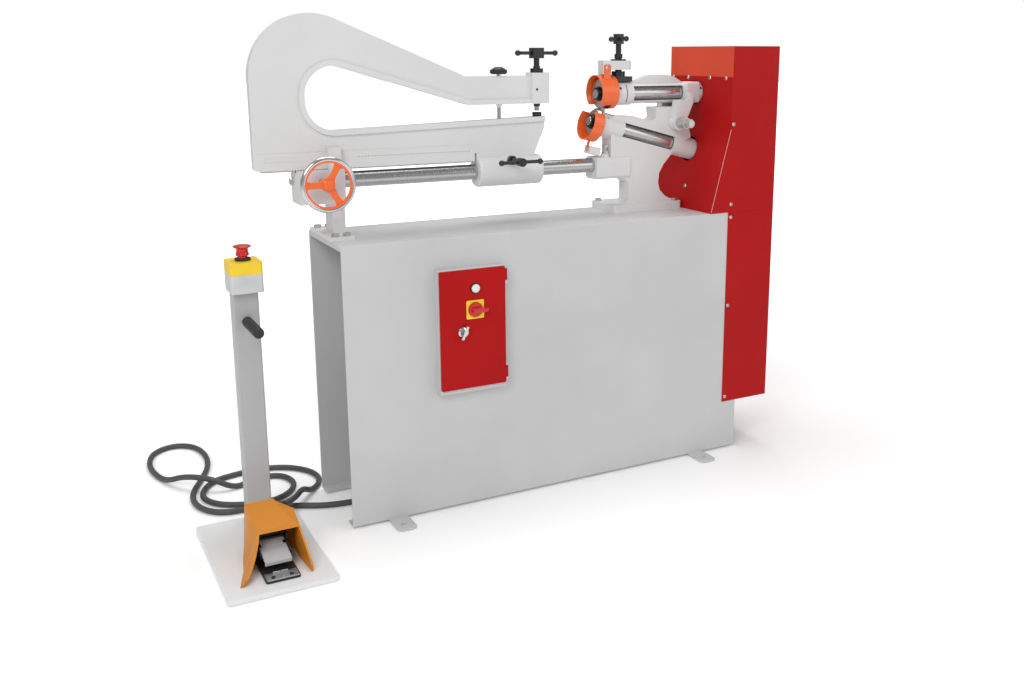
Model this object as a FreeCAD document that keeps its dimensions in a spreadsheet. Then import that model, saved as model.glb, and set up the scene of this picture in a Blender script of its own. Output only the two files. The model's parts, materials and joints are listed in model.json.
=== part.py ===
import FreeCAD, Part
import math
import os
import Sketcher

# Circular shear on a floor cabinet: a head with two inclined rotary cutters, a clamping carriage
# on a guide bar, a drive inside a sheet metal cover and a separate foot pedal stand.
# Frame: x to the right along the guide bar, y to the back, z up. The origin is on the floor at
# the centre of the four anchor holes. Millimetres and degrees.

Vector = FreeCAD.Vector
Rotation = FreeCAD.Rotation

doc = FreeCAD.newDocument("circular_shear")
sheet = doc.addObject("Spreadsheet::Sheet", "sizes")
nodes = []

# Driving dimensions
SIZES = {
    # fits and gaps
    "run_gap": 0.05,
    "press_gap": 0.02,
    "side_gap": 0.3,
    "bolt_gap": 0.5,
    # cabinet
    "cabinet_long": 1164,
    "cabinet_deep": 276,
    "cabinet_tall": 700,
    "cabinet_reach": 572,
    "cabinet_sheet": 3,
    "lip_tall": 13,
    "flange_wide": 40,
    "shelf_level": 216,
    "shelf_long": 268,
    "shelf_hem": 25,
    "anchor_long": 908,
    "anchor_wide": 354,
    "anchor_bore": 14,
    "tab_thick": 6,
    "tab_wide": 50,
    "tab_end": 30,
    "tab_round": 14,
    # guide bar and the plane it works in
    "bar_depth": 32,
    "bar_level": 135,
    "bar_radius": 20,
    "bar_start": 37,
    # support post
    "post_plate_long": 60,
    "post_plate_deep": 186,
    "post_plate_thick": 9,
    "post_left": 25,
    "post_wide": 31,
    "post_deep": 64,
    "housing_left": -53,
    "housing_right": 58,
    "housing_low": 83,
    "housing_top": 163,
    "housing_deep": 80,
    "housing_floor": 14,
    "finger_left": 23,
    "finger_wide": 30,
    "finger_top": 217,
    "finger_thick": 17,
    # frame bolts
    "bolt_radius": 5,
    "bolt_head": 10,
    "bolt_head_tall": 7,
    "bolt_grip": 14,
    "bolt_inset": 16,
    "socket_bolt_left": -360,
    "socket_bolt_depth": 20,
    # pinion, rack and handwheel
    "wheel_left": 2.5,
    "tooth_module": 2,
    "pinion_teeth": 28,
    "pressure_angle": 20,
    "backlash": 0.7,
    "pinion_wide": 22,
    "shaft_radius": 10,
    "shaft_back": 80,
    "handwheel_radius": 67,
    "handwheel_front": -62,
    "handwheel_deep": 24,
    "rim_radius": 7,
    "wheel_hub_radius": 17,
    "spoke_wide": 15,
    "spoke_thick": 9,
    # carriage frame
    "web_thick": 24,
    "band_thick": 36,
    "band_wide": 13,
    "frame_left": -723,
    "frame_low": 166,
    "crown_round": 149,
    "crown_slope": 22.5,
    "knee_left": -182,
    "arm_top": 380,
    "arm_low": 308,
    "throat_knee": -174,
    "throat_left": -596,
    "throat_slope": 16.5,
    "throat_round": 70,
    "bed_slope": 1.8,
    "bed_level": 275,
    "frame_right": 54,
    "nose_tall": 28,
    "nose_cut": 36,
    "nose_back": 10,
    "boss_wide": 50,
    "boss_rise": 8,
    "boss_thick": 46,
    "hub_left": -155,
    "hub_right": 30,
    "hub_radius": 40,
    "rack_left": -708,
    "rack_right": -160,
    "rack_top": 185,
    # clamp
    "clamp_from_end": 27,
    "clamp_screw_radius": 9,
    "clamp_head_wide": 32,
    "clamp_head_low": 425,
    "clamp_head_tall": 27,
    "clamp_neck_radius": 7.5,
    "nut_flange_radius": 17,
    "nut_flange_tall": 11,
    "nut_sleeve_radius": 14,
    "pad_radius": 7,
    "pad_tall": 12,
    "spigot_radius": 3.5,
    "anvil_radius": 12.5,
    "anvil_tall": 10.5,
    "grip_gap": 3.5,
    "handle_radius": 4.5,
    "handle_long": 125,
    "ball_radius": 7.5,
    # strut screw
    "strut_left": -84,
    "strut_radius": 5,
    "strut_rise": 5,
    "knob_radius": 24,
    "knob_tall": 18,
    "knob_lobes": 6,
    "cone_radius": 9,
    "cone_tall": 8,
    # hub lock
    "lock_left": -70,
    "lock_rise": 30,
    "lock_front": -8,
    "lock_boss_radius": 14,
    "lock_screw_radius": 8,
    "lock_bar_front": -68,
    "lock_head_radius": 11,
    # cutters and spindles
    "cut_plane": -373,
    "cutter_radius": 40,
    "cutter_thick": 11,
    "cutter_bevel": 3,
    "cutter_lap": 1,
    "upper_level": 329,
    "lower_tilt": 15,
    "spindle_radius": 19,
    "seat_radius": 12,
    "collar_radius": 25,
    "collar_thick": 12,
    "nut_radius": 17,
    "nut_thick": 8,
    "washer_radius": 20,
    "washer_thick": 2,
    "bush_radius": 24,
    "trough_bore": 21,
    "window_half": 19.5,
    # upper arm
    "arm_front": -333,
    "arm_window": -277,
    "arm_window_end": -108,
    "arm_back": -29,
    "arm_front_radius": 32,
    "arm_back_radius": 29,
    "hump_left": -292,
    "hump_right": -98,
    "hump_rise": 20,
    "hump_flat": 80,
    "hump_round": 80,
    "hump_thick": 22,
    "pivot_left": -138,
    "pivot_level": 246,
    "pivot_radius": 10,
    "lug_left": -147,
    "lug_right": -94,
    "lug_thick": 27,
    "lug_radius": 21,
    "spacer_radius": 15,
    "spacer_long": 35,
    # head frame
    "foot_left": -343,
    "foot_long": 228,
    "foot_front": -7,
    "foot_deep": 134,
    "foot_tall": 22,
    "column_left": -290,
    "column_right": -190,
    "column_thick": 50,
    "column_round": 20,
    "socket_left": -396,
    "socket_low": 97,
    "socket_tall": 61,
    "socket_wide": 62,
    "lower_front": 4.5,
    "lower_window": 78,
    "lower_window_end": 256,
    "lower_back": 358,
    "lower_front_radius": 33.5,
    "lower_back_radius": 30,
    "neck_left": -204,
    "neck_top": 296,
    "neck_low": 252,
    # head screw
    "screw_left": -312,
    "bracket_left": -377,
    "bracket_right": -283,
    "bracket_low": 394,
    "bracket_tall": 24,
    "bracket_front": 4,
    "bracket_apron": 12,
    "bracket_deep": 90,
    "bracket_leg_left": -340,
    "bracket_leg_wide": 14,
    "bracket_leg_thick": 16,
    "bracket_leg_low": 219,
    "bracket_pad_tall": 40,
    "bracket_pad_deep": 46,
    "head_bar_turn": 80,
    "head_bar_level": 476,
    "head_block_wide": 21,
    "screw_neck_radius": 7.5,
    "screw_collar_radius": 11,
    "shoe_left": -332,
    "shoe_right": -274,
    "shoe_tall": 14,
    "shoe_cup_radius": 18.5,
    "shoe_cup_tall": 14,
    # guards
    "guard_radius": 46,
    "guard_sheet": 1.2,
    "upper_guard_long": 53.5,
    "upper_guard_rise": 4.5,
    "lower_guard_long": 33,
    "lower_guard_drop": 7,
    "lower_guard_radius": 46.7,
    "lower_guard_front": -29.4,
    "lower_guard_open": 25,
    "guard_tab": 13,
    "upper_tab_left": -375,
    "upper_tab_wide": 22,
    "upper_tab_top": 408,
    "guard_screw_level": 400,
    "lower_tab_place": -8,
    "lower_tab_reach": 82,
    "lower_screw_reach": 75,
    # drive inside the cover
    "gear_teeth": 28,
    "gear_distance": 690,
    "gear_face": 20,
    "gear_tip": 5.5,
    "gear_root": 9.8,
    "gear_slack": 4.4,
    "gear_bore": 15,
    "pulley_left": 48,
    "pulley_wide": 44,
    "pulley_radius": 100,
    "motor_pulley_radius": 45,
    "pulley_lip": 4,
    "belt_wide": 30,
    "belt_thick": 4,
    "belt_gap": 0.4,
    "motor_level": 306,
    "motor_radius": 76,
    "motor_left": -262,
    "motor_long": 250,
    "motor_shaft_radius": 12,
    # cover
    "cover_left": -49,
    "cover_right": 111,
    "cover_back": 159,
    "cover_low": 146,
    "cover_top": 457,
    "cap_seam": 374,
    "cover_sheet": 2,
    "flare_left": -111,
    "flare_level": 235,
    "flare_screw_rise": 62,
    "cap_lip": 16,
    "panel_screw_radius": 5.5,
    "panel_screw_shank": 2.5,
    "panel_screw_tall": 3.5,
    # control box and its door
    "box_left": -343,
    "box_right": -163,
    "box_low": 314,
    "box_top": 628,
    "box_proud": 22,
    "box_deep": 110,
    "box_rim": 12,
    "box_sheet": 2,
    "door_left": -341,
    "door_right": -165.5,
    "door_low": 325,
    "door_top": 627,
    "door_thick": 5.5,
    "hinge_left": -162,
    "hinge_pin": 1.5,
    "hinge_radius": 3,
    "hinge_low": 339,
    "hinge_high": 591,
    "hinge_tall": 29,
    "lamp_left": -247,
    "lamp_level": 579,
    "lamp_radius": 10,
    "knob_left": -249,
    "knob_level": 526,
    "lock_knob_left": -281,
    "lock_knob_level": 471,
    # pedal stand
    "base_left": -914,
    "base_front": -366,
    "base_long": 240,
    "base_deep": 405,
    "base_thick": 12,
    "stand_left": -796,
    "stand_front": -5,
    "stand_wide": 60,
    "stand_deep": 40,
    "stand_sheet": 2.5,
    "stop_left": -801,
    "stop_wide": 75,
    "stop_deep": 80,
    "stop_low": 594,
    "stop_split": 638,
    "stop_top": 667,
    "stop_wall": 3,
    "stop_stem": 15.5,
    "stop_cap": 21,
    "stop_cap_top": 704,
    "stop_cap_tall": 20,
    "stop_travel": 5,
    "grip_level": 522,
    "grip_long": 125,
    "grip_radius": 12.5,
    "pedal_left": -826,
    "pedal_wide": 76,
    "pedal_front": -330,
    "pedal_back": -157,
    "pedal_plate": 6,
    "treadle_front": -292,
    "treadle_long": 87,
    "treadle_wide": 66,
    "treadle_level": 62,
    "treadle_thick": 5,
    "treadle_slope": 11,
    "hood_tip": -318,
    "hood_back": -140,
    "hood_brow": -238,
    "hood_brow_top": 96,
    "hood_top": 125,
    "hood_wall": 4,
    "hood_top_left": -827,
    "hood_top_right": -762,
    "hood_right": -726,
    "hood_step": -186,
    "hood_step_top": 112,
    "hood_tip_left": -880,
    "hood_tip_right": -719,
    # cable
    "cable_radius": 7.5,
    "gland_radius": 13,
    "gland_long": 16,
    "outlet_left": -300,
    "outlet_depth": -83,
    "inlet_depth": 15,
    "inlet_level": 34,
}

# Places along the machine that are measured from the left and the right end of the cabinet
FROM_LEFT_END = (
    "bar_start", "post_left", "housing_left", "housing_right", "finger_left", "wheel_left",
)
FROM_RIGHT_END = (
    "socket_bolt_left", "cut_plane", "arm_front", "arm_window", "arm_window_end", "arm_back",
    "hump_left", "hump_right", "pivot_left", "lug_left", "lug_right", "foot_left", "column_left",
    "column_right", "socket_left", "neck_left", "screw_left", "bracket_left", "bracket_right",
    "bracket_leg_left", "shoe_left", "shoe_right", "upper_tab_left", "pulley_left", "motor_left",
    "cover_left", "cover_right", "flare_left",
)

# Heights that are measured from the top of the cabinet
FROM_CABINET_TOP = (
    "bar_level", "housing_low", "housing_top", "finger_top", "frame_low", "arm_top", "arm_low",
    "bed_level", "rack_top", "clamp_head_low", "upper_level", "pivot_level", "socket_low",
    "neck_top", "neck_low", "bracket_low", "bracket_leg_low", "head_bar_level", "upper_tab_top",
    "guard_screw_level", "cover_top", "cap_seam", "flare_level",
)


class Size:
    # A number together with the sheet formula that gives it.

    def __init__(self, formula, value):
        self.formula = formula
        self.value = value

    def joined(self, sign, other, value):
        return Size("(%s %s %s)" % (self.formula, sign, as_size(other).formula), value)

    def __add__(self, other):
        return self.joined("+", other, self.value + number(other))

    def __sub__(self, other):
        return self.joined("-", other, self.value - number(other))

    def __mul__(self, other):
        return self.joined("*", other, self.value * number(other))

    def __truediv__(self, other):
        return self.joined("/", other, self.value / number(other))

    def __radd__(self, other):
        return as_size(other) + self

    def __rsub__(self, other):
        return as_size(other) - self

    def __rmul__(self, other):
        return as_size(other) * self

    def __rtruediv__(self, other):
        return as_size(other) / self

    def __neg__(self):
        return 0 - self


def as_size(item):
    return item if isinstance(item, Size) else Size("(%r)" % float(item), float(item))


def number(item):
    return item.value if isinstance(item, Size) else float(item)


def vector(x, y, z):
    return Vector(number(x), number(y), number(z))


def sine(angle):
    return Size("sin(%s)" % angle.formula, math.sin(math.radians(angle.value)))


def cosine(angle):
    return Size("cos(%s)" % angle.formula, math.cos(math.radians(angle.value)))


def tangent(angle):
    return Size("tan(%s)" % angle.formula, math.tan(math.radians(angle.value)))


class Sheet:
    # The sizes of the sheet, each read back by its alias.

    def __init__(self, values):
        for row, (alias, value) in enumerate(values.items(), 1):
            cell = "A%d" % row
            sheet.set(cell, str(value))
            sheet.setAlias(cell, alias)
        doc.recompute()

    def __getattr__(self, alias):
        size = Size("sizes." + alias, float(sheet.get(alias)))
        if alias in FROM_LEFT_END:
            return size - self.cabinet_reach
        if alias in FROM_RIGHT_END:
            return size + self.cabinet_long - self.cabinet_reach
        if alias in FROM_CABINET_TOP:
            return size + self.tab_thick + self.cabinet_tall
        return size


s = Sheet(SIZES)

# Places that follow from the sizes
cabinet_left = -s.cabinet_reach
cabinet_right = s.cabinet_long - s.cabinet_reach
cabinet_front = -s.cabinet_deep / 2
cabinet_back = s.cabinet_deep / 2
cabinet_low = s.tab_thick
cabinet_top = cabinet_low + s.cabinet_tall
pitch_radius = s.tooth_module * s.pinion_teeth / 2
tooth_pitch = s.tooth_module * math.pi
pitch_level = s.bar_level + pitch_radius
rack_low = pitch_level - s.tooth_module
clamp_left = s.frame_right - s.clamp_from_end
boss_top = s.arm_top + s.boss_rise
lower_axis_left = s.cut_plane - s.side_gap - s.cutter_radius * sine(s.lower_tilt)
lower_axis_level = (s.upper_level - s.cutter_radius + s.cutter_lap
                    - s.cutter_radius * cosine(s.lower_tilt))
apex_left = lower_axis_left - (s.upper_level - lower_axis_level) / tangent(s.lower_tilt)
lower_gear_along = (lower_axis_left - apex_left) / cosine(s.lower_tilt)
foot_top = cabinet_top + s.foot_tall
socket_top = s.socket_low + s.socket_tall
socket_boss_top = socket_top + 8
pulley_middle = s.pulley_left + s.pulley_wide / 2
upper_tab_middle = s.upper_tab_left + s.upper_tab_wide / 2

ALONG = {
    "x": Rotation(Vector(0, 1, 0), 90),
    "y": Rotation(Vector(1, 0, 0), -90),
    "z": Rotation(),
}


def bind(thing, **fields):
    for field, size in fields.items():
        thing.setExpression(field, as_size(size).formula)
    return thing


def place(thing, x=0, y=0, z=0):
    for axis, size in zip("xyz", (x, y, z)):
        thing.setExpression("Placement.Base." + axis, as_size(size).formula)
    return thing


def tilt(thing, angle):
    # Turned about y, so that what lies along z lies along x at 90 degrees, and lower beyond that.
    thing.Placement = FreeCAD.Placement(Vector(), Rotation(Vector(0, 1, 0), number(angle)))
    thing.setExpression("Placement.Rotation.Angle", as_size(angle).formula)
    return thing


def box(name, low, high):
    thing = doc.addObject("Part::Box", name)
    bind(thing, Length=high[0] - low[0], Width=high[1] - low[1], Height=high[2] - low[2])
    return place(thing, *low)


def cylinder(name, radius, start, length, along="z"):
    thing = doc.addObject("Part::Cylinder", name)
    thing.Placement = FreeCAD.Placement(Vector(), ALONG[along])
    bind(thing, Radius=radius, Height=length)
    return place(thing, *start)


def cone(name, radius, end_radius, start, length, along="z"):
    thing = doc.addObject("Part::Cone", name)
    thing.Placement = FreeCAD.Placement(Vector(), ALONG[along])
    bind(thing, Radius1=radius, Radius2=end_radius, Height=length)
    return place(thing, *start)


def ball(name, radius, middle, side):
    # The seam of the ball faces away from the bar that it ends.
    thing = doc.addObject("Part::Sphere", name)
    bind(thing, Radius=radius)
    turn = Rotation(Vector(0, 0, 1), 90 - 90 * side)
    thing.Placement = FreeCAD.Placement(Vector(), turn)
    return place(thing, *middle)


def hexagon(name, radius, start, length, along="z"):
    thing = doc.addObject("Part::Prism", name)
    thing.Polygon = 6
    thing.Placement = FreeCAD.Placement(Vector(), ALONG[along])
    bind(thing, Circumradius=radius, Height=length)
    return place(thing, *start)


def lower_at(distance):
    # A point on the lower spindle's axis, measured from the face of the lower cutter.
    return (lower_axis_left + distance * cosine(s.lower_tilt), s.bar_depth,
            lower_axis_level - distance * sine(s.lower_tilt))


def lower_cylinder(name, radius, start, end):
    thing = doc.addObject("Part::Cylinder", name)
    tilt(thing, s.lower_tilt + 90)
    bind(thing, Radius=radius, Height=end - start)
    return place(thing, *lower_at(start))


def below_axis(distance, drop):
    # A point under the lower spindle's axis, square to it.
    x, y, z = lower_at(distance)
    return x - drop * sine(s.lower_tilt), y, z - drop * cosine(s.lower_tilt)


def tilted_box(name, start, end, front, back, top, low):
    # A box along the lower spindle's axis, from drop top to drop low under it.
    thing = doc.addObject("Part::Box", name)
    tilt(thing, s.lower_tilt)
    bind(thing, Length=end - start, Width=back - front, Height=low - top)
    x, _, z = below_axis(start, low)
    return place(thing, x, front, z)


def tilted_rod(name, radius, start, end, drop):
    # A rod parallel to the lower spindle's axis.
    thing = doc.addObject("Part::Cylinder", name)
    tilt(thing, s.lower_tilt + 90)
    bind(thing, Radius=radius, Height=end - start)
    return place(thing, *below_axis(start, drop))


def fuse(name, *pieces):
    thing = doc.addObject("Part::MultiFuse", name)
    thing.Shapes = list(pieces)
    thing.Refine = True
    return thing


def cut(name, base, *tools):
    tool = tools[0] if len(tools) == 1 else fuse(name + "_tools", *tools)
    thing = doc.addObject("Part::Cut", name)
    thing.Base = base
    thing.Tool = tool
    thing.Refine = True
    return thing


def common(name, base, tool):
    thing = doc.addObject("Part::Common", name)
    thing.Base = base
    thing.Tool = tool
    thing.Refine = True
    return thing


def group(name, pieces):
    thing = doc.addObject("Part::Compound", name)
    thing.Links = list(pieces)
    return thing


def sketch(body, role, points, name):
    drawn = body.newObject("Sketcher::SketchObject", name)
    plane = [part for part in body.Origin.OriginFeatures if part.Role == role][0]
    drawn.AttachmentSupport = [(plane, "")]
    drawn.MapMode = "FlatFace"
    corners = [Vector(number(u), number(v), 0) for u, v in points]
    count = len(corners)
    for index in range(count):
        drawn.addGeometry(Part.LineSegment(corners[index], corners[(index + 1) % count]), False)
    for index in range(count):
        drawn.addConstraint(Sketcher.Constraint("Coincident", index, 2, (index + 1) % count, 1))
    for index, corner in enumerate(points):
        for kind, size in zip(("DistanceX", "DistanceY"), corner):
            rule = drawn.addConstraint(Sketcher.Constraint(kind, -1, 1, index, 1, number(size)))
            drawn.setExpression("Constraints[%d]" % rule, as_size(size).formula)
    return drawn


def plate(name, points, start, thick):
    # An outline in x and z, padded towards the back from y = start.
    body = doc.addObject("PartDesign::Body", name)
    pad = body.newObject("PartDesign::Pad", name + "_pad")
    pad.Profile = sketch(body, "XZ_Plane", points, name + "_outline")
    pad.Reversed = True
    bind(pad, Length=thick)
    return place(body, 0, start, 0)


def slab(name, points, start, thick):
    # An outline in x and y, padded upwards from z = start.
    body = doc.addObject("PartDesign::Body", name)
    pad = body.newObject("PartDesign::Pad", name + "_pad")
    pad.Profile = sketch(body, "XY_Plane", points, name + "_outline")
    bind(pad, Length=thick)
    return place(body, 0, 0, start)


def turned(name, profile, along="x"):
    # A profile of (distance along the axis, radius) pairs turned about the axis.
    body = doc.addObject("PartDesign::Body", name)
    turn = body.newObject("PartDesign::Revolution", name + "_turn")
    drawn = sketch(body, "XZ_Plane", profile, name + "_profile")
    turn.Profile = drawn
    turn.ReferenceAxis = (drawn, ["H_Axis"])
    turn.Angle = 360
    rotations = {"x": Rotation(), "y": Rotation(Vector(0, 0, 1), 90),
                 "z": Rotation(Vector(0, 1, 0), -90)}
    body.Placement = FreeCAD.Placement(Vector(), rotations[along])
    return body


def near(value, size, slack=0.01):
    return abs(value - number(size)) < slack


def rounded(name, base, radius, wanted):
    # Rounds the straight and curved edges that wanted(middle, direction) picks.
    doc.recompute()
    picked = []
    for index, edge in enumerate(base.Shape.Edges, 1):
        first, last = edge.ParameterRange
        middle = edge.valueAt((first + last) / 2)
        direction = edge.tangentAt((first + last) / 2)
        if wanted(middle, direction):
            picked.append((index, number(radius), number(radius)))
    thing = doc.addObject("Part::Fillet", name)
    thing.Base = base
    thing.Edges = picked
    return thing


def upright(direction):
    return abs(direction.z) > 0.99


def crosswise(direction):
    return abs(direction.y) > 0.99


def node(thing, label):
    thing.Label = label
    nodes.append(thing)
    return thing


def shape_node(label, shape, placement=FreeCAD.Placement()):
    # A piece whose shape comes from a formula.
    thing = doc.addObject("Part::Feature", label)
    thing.Shape = shape
    thing.Placement = placement
    return node(thing, label)


# Cabinet

def anchor_places():
    return [(side * s.anchor_long / 2, end * s.anchor_wide / 2, end)
            for side in (-1, 1) for end in (-1, 1)]


def anchor_tab(index, x, y, end):
    half = s.tab_wide / 2
    inner = end * (s.cabinet_deep / 2 - s.flange_wide)
    outer = y + end * s.tab_end
    low_y, high_y = (outer, inner) if end < 0 else (inner, outer)
    blank = box("tab_%d" % index, (x - half, low_y, 0), (x + half, high_y, s.tab_thick))
    soft = rounded("tab_round_%d" % index, blank, s.tab_round,
                   lambda middle, way: upright(way) and near(middle.y, outer))
    hole = cylinder("tab_hole_%d" % index, s.anchor_bore / 2, (x, y, -1), s.tab_thick + 2)
    return cut("tab_cut_%d" % index, soft, hole)


def cabinet():
    skin = s.cabinet_sheet
    outer = box("cabinet_outer", (cabinet_left, cabinet_front, cabinet_low),
                (cabinet_right, cabinet_back, cabinet_top))
    inner = box("cabinet_inner", (cabinet_left - 1, cabinet_front + skin, cabinet_low + skin),
                (cabinet_right + 1, cabinet_back - skin, cabinet_top - skin))
    floor_gap = box("cabinet_floor_gap",
                    (cabinet_left - 1, cabinet_front + s.flange_wide, cabinet_low - 1),
                    (cabinet_right + 1, cabinet_back - s.flange_wide, cabinet_low + skin + 1))
    panel_hole = box("cabinet_panel_hole",
                     (s.box_left + s.box_rim - 1, cabinet_front - 1, s.box_low + s.box_rim - 1),
                     (s.box_right - s.box_rim + 1, cabinet_front + skin + 1,
                      s.box_top - s.box_rim + 1))
    shell = cut("cabinet_walls", outer, inner, floor_gap, panel_hole)
    lip = box("cabinet_lip", (cabinet_left, cabinet_front, cabinet_top - s.lip_tall),
              (cabinet_left + skin, cabinet_back, cabinet_top))
    shelf_right = cabinet_right - 2
    shelf = box("motor_shelf", (shelf_right - s.shelf_long, cabinet_front + skin,
                                s.shelf_level - skin),
                (shelf_right, cabinet_back - skin, s.shelf_level))
    hem = box("motor_shelf_hem", (shelf_right - s.shelf_long, cabinet_front + skin,
                                  s.shelf_level - s.shelf_hem),
              (shelf_right - s.shelf_long + skin, cabinet_back - skin, s.shelf_level))
    tabs = [anchor_tab(index, *spot) for index, spot in enumerate(anchor_places(), 1)]
    node(fuse("cabinet_shell", shell, lip, shelf, hem, *tabs), "cabinet_shell")


# Control box, its door and what the door carries

box_face = cabinet_front - s.box_proud
door_back = box_face - s.side_gap
door_front = door_back - s.door_thick
hinge_depth = door_back - s.hinge_radius


def control_box():
    skin = s.box_sheet
    rim = box("box_rim_block", (s.box_left, box_face, s.box_low),
              (s.box_right, cabinet_front, s.box_top))
    tray = box("box_tray", (s.box_left + s.box_rim, cabinet_front - 1, s.box_low + s.box_rim),
               (s.box_right - s.box_rim, cabinet_front + s.box_deep, s.box_top - s.box_rim))
    room = box("box_room", (s.box_left + s.box_rim + skin, box_face - 1,
                            s.box_low + s.box_rim + skin),
               (s.box_right - s.box_rim - skin, cabinet_front + s.box_deep - skin,
                s.box_top - s.box_rim - skin))
    pieces = [rim, tray]
    pins = []
    for index, low in enumerate((s.hinge_low, s.hinge_high), 1):
        shelf = box("hinge_shelf_%d" % index,
                    (s.hinge_left - s.hinge_radius, hinge_depth, low - 9),
                    (s.hinge_left + s.hinge_radius, box_face + 2, low - s.side_gap))
        pieces.append(cylinder("hinge_seat_%d" % index, s.hinge_radius,
                               (s.hinge_left, hinge_depth, low - 9), 9 - s.side_gap))
        pins.append(cylinder("hinge_pin_%d" % index, s.hinge_pin,
                             (s.hinge_left, hinge_depth, low - 2), s.hinge_tall))
        pieces.append(shelf)
    whole = cut("box_whole", fuse("box_blocks", *pieces), room)
    node(fuse("control_box", whole, *pins), "control_box")


def control_door():
    panel = box("door_panel", (s.door_left, door_front, s.door_low),
                (s.door_right, door_back, s.door_top))
    pieces = [rounded("door_soft", panel, 4,
                      lambda middle, way: crosswise(way))]
    bores = []
    for index, low in enumerate((s.hinge_low, s.hinge_high), 1):
        pieces.append(box("ear_%d" % index, (s.door_right - 2, hinge_depth - 2, low),
                          (s.hinge_left, hinge_depth + 2, low + s.hinge_tall)))
        pieces.append(cylinder("ear_roll_%d" % index, s.hinge_radius,
                               (s.hinge_left, hinge_depth, low), s.hinge_tall))
        bores.append(cylinder("ear_bore_%d" % index, s.hinge_pin + s.run_gap,
                              (s.hinge_left, hinge_depth, low - 1), s.hinge_tall + 2))
    knob_hole = cylinder("door_knob_hole", 5, (s.knob_left, door_front - 1, s.knob_level),
                         s.door_thick + 2, "y")
    lamp_hole = cylinder("door_lamp_hole", 7, (s.lamp_left, door_front - 1, s.lamp_level),
                         s.door_thick + 2, "y")
    lock_hole = cylinder("door_lock_hole", 8,
                         (s.lock_knob_left, door_front - 1, s.lock_knob_level),
                         s.door_thick + 2, "y")
    whole = fuse("door_whole", *pieces)
    node(cut("control_door", whole, knob_hole, lamp_hole, lock_hole, *bores), "control_door")


def door_fittings():
    front = door_front
    stem_long = s.door_thick + 6
    lamp_bezel = cylinder("lamp_bezel", s.lamp_radius, (s.lamp_left, front - 3, s.lamp_level),
                          3, "y")
    lamp_dome = cone("lamp_dome", s.lamp_radius - 3.5, s.lamp_radius - 2,
                     (s.lamp_left, front - 8, s.lamp_level), 5.5, "y")
    lamp_stem = cylinder("lamp_stem", 7 - s.press_gap, (s.lamp_left, front, s.lamp_level),
                         stem_long, "y")
    node(fuse("pilot_lamp", lamp_bezel, lamp_dome, lamp_stem), "pilot_lamp")

    knob_disc = cylinder("knob_disc", 16, (s.knob_left, front - 8, s.knob_level),
                         8 - s.side_gap, "y")
    knob_grip = box("knob_grip", (s.knob_left - 14, front - 22, s.knob_level - 6),
                    (s.knob_left + 31, front - 7, s.knob_level + 6))
    knob_stem = cylinder("knob_stem", 5 - s.run_gap, (s.knob_left, front - 4, s.knob_level),
                         stem_long + 4, "y")
    node(fuse("switch_knob", knob_disc, knob_grip, knob_stem), "switch_knob")

    lock_rose = cylinder("lock_rose", 10, (s.lock_knob_left, front - 3, s.lock_knob_level),
                         3 - s.side_gap, "y")
    lock_wing = box("lock_wing", (s.lock_knob_left - 3, front - 14, s.lock_knob_level - 12),
                    (s.lock_knob_left + 3, front - 2, s.lock_knob_level + 9))
    lock_barrel = cylinder("lock_barrel", 8 - s.run_gap,
                           (s.lock_knob_left, front - 1, s.lock_knob_level), stem_long + 1, "y")
    lock_tongue = box("lock_tongue", (s.lock_knob_left - 3, door_back + 2.5,
                                      s.lock_knob_level - 8),
                      (s.lock_knob_left + 3, door_back + 5, s.lock_knob_level + 8))
    node(fuse("door_lock", lock_rose, lock_wing, lock_barrel, lock_tongue), "door_lock")


# Support post with the pinion housing

def support_post():
    y = s.bar_depth
    gap = s.web_thick / 2 + 1
    foot = box("post_foot", (cabinet_left, y - s.post_plate_deep / 2, cabinet_top),
               (cabinet_left + s.post_plate_long, y + s.post_plate_deep / 2,
                cabinet_top + s.post_plate_thick))
    column = box("post_column", (s.post_left, y - s.post_deep / 2, cabinet_top + 1),
                 (s.post_left + s.post_wide, y + s.post_deep / 2, s.housing_low + 1))
    housing = box("post_housing", (s.housing_left, y - s.housing_deep / 2, s.housing_low),
                  (s.housing_right, y + s.housing_deep / 2, s.housing_top))
    finger = box("post_finger", (s.finger_left, y - gap - s.finger_thick, s.housing_top - 1),
                 (s.finger_left + s.finger_wide, y - gap, s.finger_top))
    slot_left = s.wheel_left - pitch_radius - s.tooth_module - 2
    slot_right = s.wheel_left + pitch_radius + s.tooth_module + 1
    slot = box("pinion_slot", (slot_left, y - gap, s.housing_low + s.housing_floor),
               (slot_right, y + gap, s.housing_top + 1))
    rack_way = box("rack_way", (s.housing_left - 1, y - gap, rack_low - 2),
                   (s.housing_right + 1, y + gap, s.housing_top + 1))
    bore = cylinder("bar_bore", s.bar_radius + s.press_gap, (s.bar_start, y, s.bar_level),
                    s.housing_right - s.bar_start + 1, "x")
    shaft_bore = cylinder("shaft_bore", s.shaft_radius + s.run_gap,
                          (s.wheel_left, y - s.housing_deep, s.bar_level),
                          s.housing_deep * 2, "y")
    bolt_holes = [cylinder("post_bolt_hole_%d" % index, s.bolt_radius + s.bolt_gap,
                           (x, depth, cabinet_top - 1), s.post_plate_thick + 2)
                  for index, (x, depth) in enumerate(post_bolt_places(), 1)]
    side_hole = cylinder("housing_screw_hole", s.bolt_radius + s.press_gap,
                         (s.housing_left - 1, y + s.housing_deep / 2 - 14, s.bar_level), 17, "x")
    whole = fuse("post_whole", foot, column, housing, finger)
    node(cut("support_post", whole, slot, rack_way, bore, shaft_bore, side_hole, *bolt_holes),
         "support_post")


def post_bolt_places():
    middle = cabinet_left + s.post_plate_long / 2
    across = (s.post_plate_long - s.bolt_inset * 2) / 2
    along = (s.post_plate_deep - s.bolt_inset * 2) / 2
    return [(middle + side * across, s.bar_depth + end * along)
            for side in (-1, 1) for end in (-1, 1)]


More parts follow.
